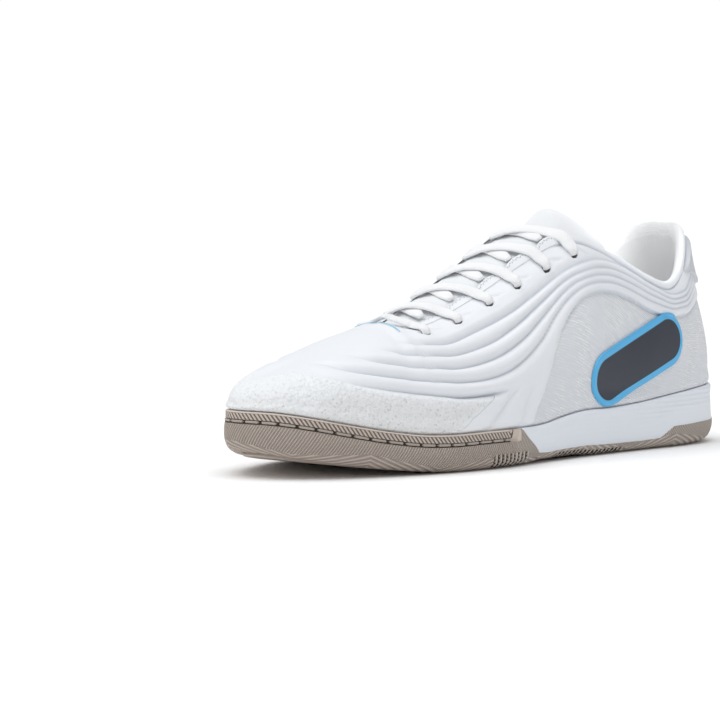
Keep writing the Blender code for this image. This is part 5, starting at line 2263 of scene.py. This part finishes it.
@dataclass
class Studio:
    """The pale floor, the soft lights and the camera at the photograph's angle."""

    aim: tuple[float, float, float] = (0.2227, 0.0041, 0.046)
    yaw: float = 46.2
    pitch: float = 3.8
    distance: float = 1.7
    lens: float = 201.9
    sky: float = 0.51
    sun: float = 2.0
    sun_way: tuple[float, float, float] = (-0.25, 0.08, -1.0)
    sun_angle: float = 70.0
    window: float = 0.4
    window_place: tuple[float, float, float] = (0.9, -0.5, 1.0)
    light_aim: tuple[float, float, float] = (0.0, 0.0, 0.04)
    collar: float = 105.0
    collar_aim: tuple[float, float, float] = (0.045, -0.022, 0.066)
    collar_from: tuple[float, float, float] = (0.30, 0.62, 0.72)
    collar_distance: float = 1.2
    collar_radius: float = 0.033

    def overhead(self) -> None:
        """Adds the broad light above, which falls a little from the toe's outer side."""
        data = bpy.data.lights.new("overhead", "SUN")
        data.energy = self.sun
        data.angle = math.radians(self.sun_angle)
        made = bpy.data.objects.new("overhead", data)
        bpy.context.collection.objects.link(made)
        made.rotation_euler = Vector(self.sun_way).to_track_quat("-Z", "Y").to_euler()

    def floor(self) -> None:
        """Makes the floor."""
        bm = bmesh.new()
        bmesh.ops.create_grid(bm, x_segments=8, y_segments=8, size=6.0)
        mesh = bpy.data.meshes.new("studio_floor")
        bm.to_mesh(mesh)
        bm.free()
        made = bpy.data.objects.new("studio_floor", mesh)
        bpy.context.collection.objects.link(made)
        n = Nodes("studio_white", (0.97, 0.97, 0.97), 0.9)
        n.plain(Specular_IOR_Level=0.1)
        mesh.materials.append(n.material)
        made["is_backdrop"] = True

    def light(self, name: str, place: tuple, size: float, power: float) -> None:
        """Adds a soft area light that points at the shoe.

        Args:
            name: Its name.
            place: Where it stands.
            size: Its diameter.
            power: Watts.
        """
        data = bpy.data.lights.new(name, "AREA")
        data.shape = "DISK"
        data.size = size
        data.energy = power
        made = bpy.data.objects.new(name, data)
        bpy.context.collection.objects.link(made)
        made.location = place
        look = Vector(self.light_aim) - Vector(place)
        made.rotation_euler = look.to_track_quat("-Z", "Y").to_euler()

    def collar_light(self) -> None:
        """Adds a narrow soft light that reaches into the collar."""
        target = Vector(FORM.place(np.array(self.collar_aim)))
        data = bpy.data.lights.new("collar_light", "SPOT")
        data.energy = self.collar
        data.spot_size = 2 * math.atan(self.collar_radius / self.collar_distance)
        data.spot_blend = 1.0
        data.shadow_soft_size = 0.012
        made = bpy.data.objects.new("collar_light", data)
        bpy.context.collection.objects.link(made)
        toward = Vector(self.collar_from).normalized()
        made.location = target + toward * self.collar_distance
        made.rotation_euler = (-toward).to_track_quat("-Z", "Y").to_euler()

    def camera(self) -> None:
        """Places the camera."""
        yaw, pitch = math.radians(self.yaw), math.radians(self.pitch)
        look = Vector((
            -math.sin(yaw) * math.cos(pitch), -math.cos(yaw) * math.cos(pitch), -math.sin(pitch),
        ))
        data = bpy.data.cameras.new("photo_camera")
        data.sensor_width = 36.0
        data.lens = self.lens
        made = bpy.data.objects.new("photo_camera", data)
        bpy.context.collection.objects.link(made)
        made.location = Vector(FORM.place(np.array(self.aim))) - look * self.distance
        made.rotation_euler = look.to_track_quat("-Z", "Y").to_euler()
        bpy.context.scene.camera = made

    def build(self) -> None:
        """Builds the studio."""
        world = bpy.data.worlds.new("studio_world")
        world.use_nodes = True
        nodes, links = world.node_tree.nodes, world.node_tree.links
        sky = nodes["Background"]
        sky.inputs[0].default_value = (0.97, 0.985, 1.0, 1)
        sky.inputs[1].default_value = self.sky
        paper = nodes.new("ShaderNodeBackground")
        paper.inputs[0].default_value = (1, 1, 1, 1)
        paper.inputs[1].default_value = 1.02
        seen = nodes.new("ShaderNodeLightPath")
        choice = nodes.new("ShaderNodeMixShader")
        links.new(seen.outputs["Is Camera Ray"], choice.inputs[0])
        links.new(sky.outputs[0], choice.inputs[1])
        links.new(paper.outputs[0], choice.inputs[2])
        links.new(choice.outputs[0], nodes["World Output"].inputs[0])
        bpy.context.scene.world = world
        bpy.context.scene.view_settings.view_transform = "Standard"
        self.floor()
        self.overhead()
        self.light("window", self.window_place, 0.7, self.window)
        self.collar_light()
        self.camera()


def main() -> None:
    """Builds the studio and every piece of the shoe."""
    logging.basicConfig(level=logging.INFO, format="%(name)s: %(message)s")
    Studio().build()
    Sole().build()
    Upper().build()
    Insole().build()
    Tongue().build()
    Laces().build()
    ThroatTrim().build()
    ThroatLine().build()
    HeelTab().build()
    SidePanel().build()
    boxes = {"cad": CAD_BOX, "visual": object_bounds()}
    {name: [list(corner) for corner in box] for name, box in boxes.items()}


if __name__ == "__main__":
    main()
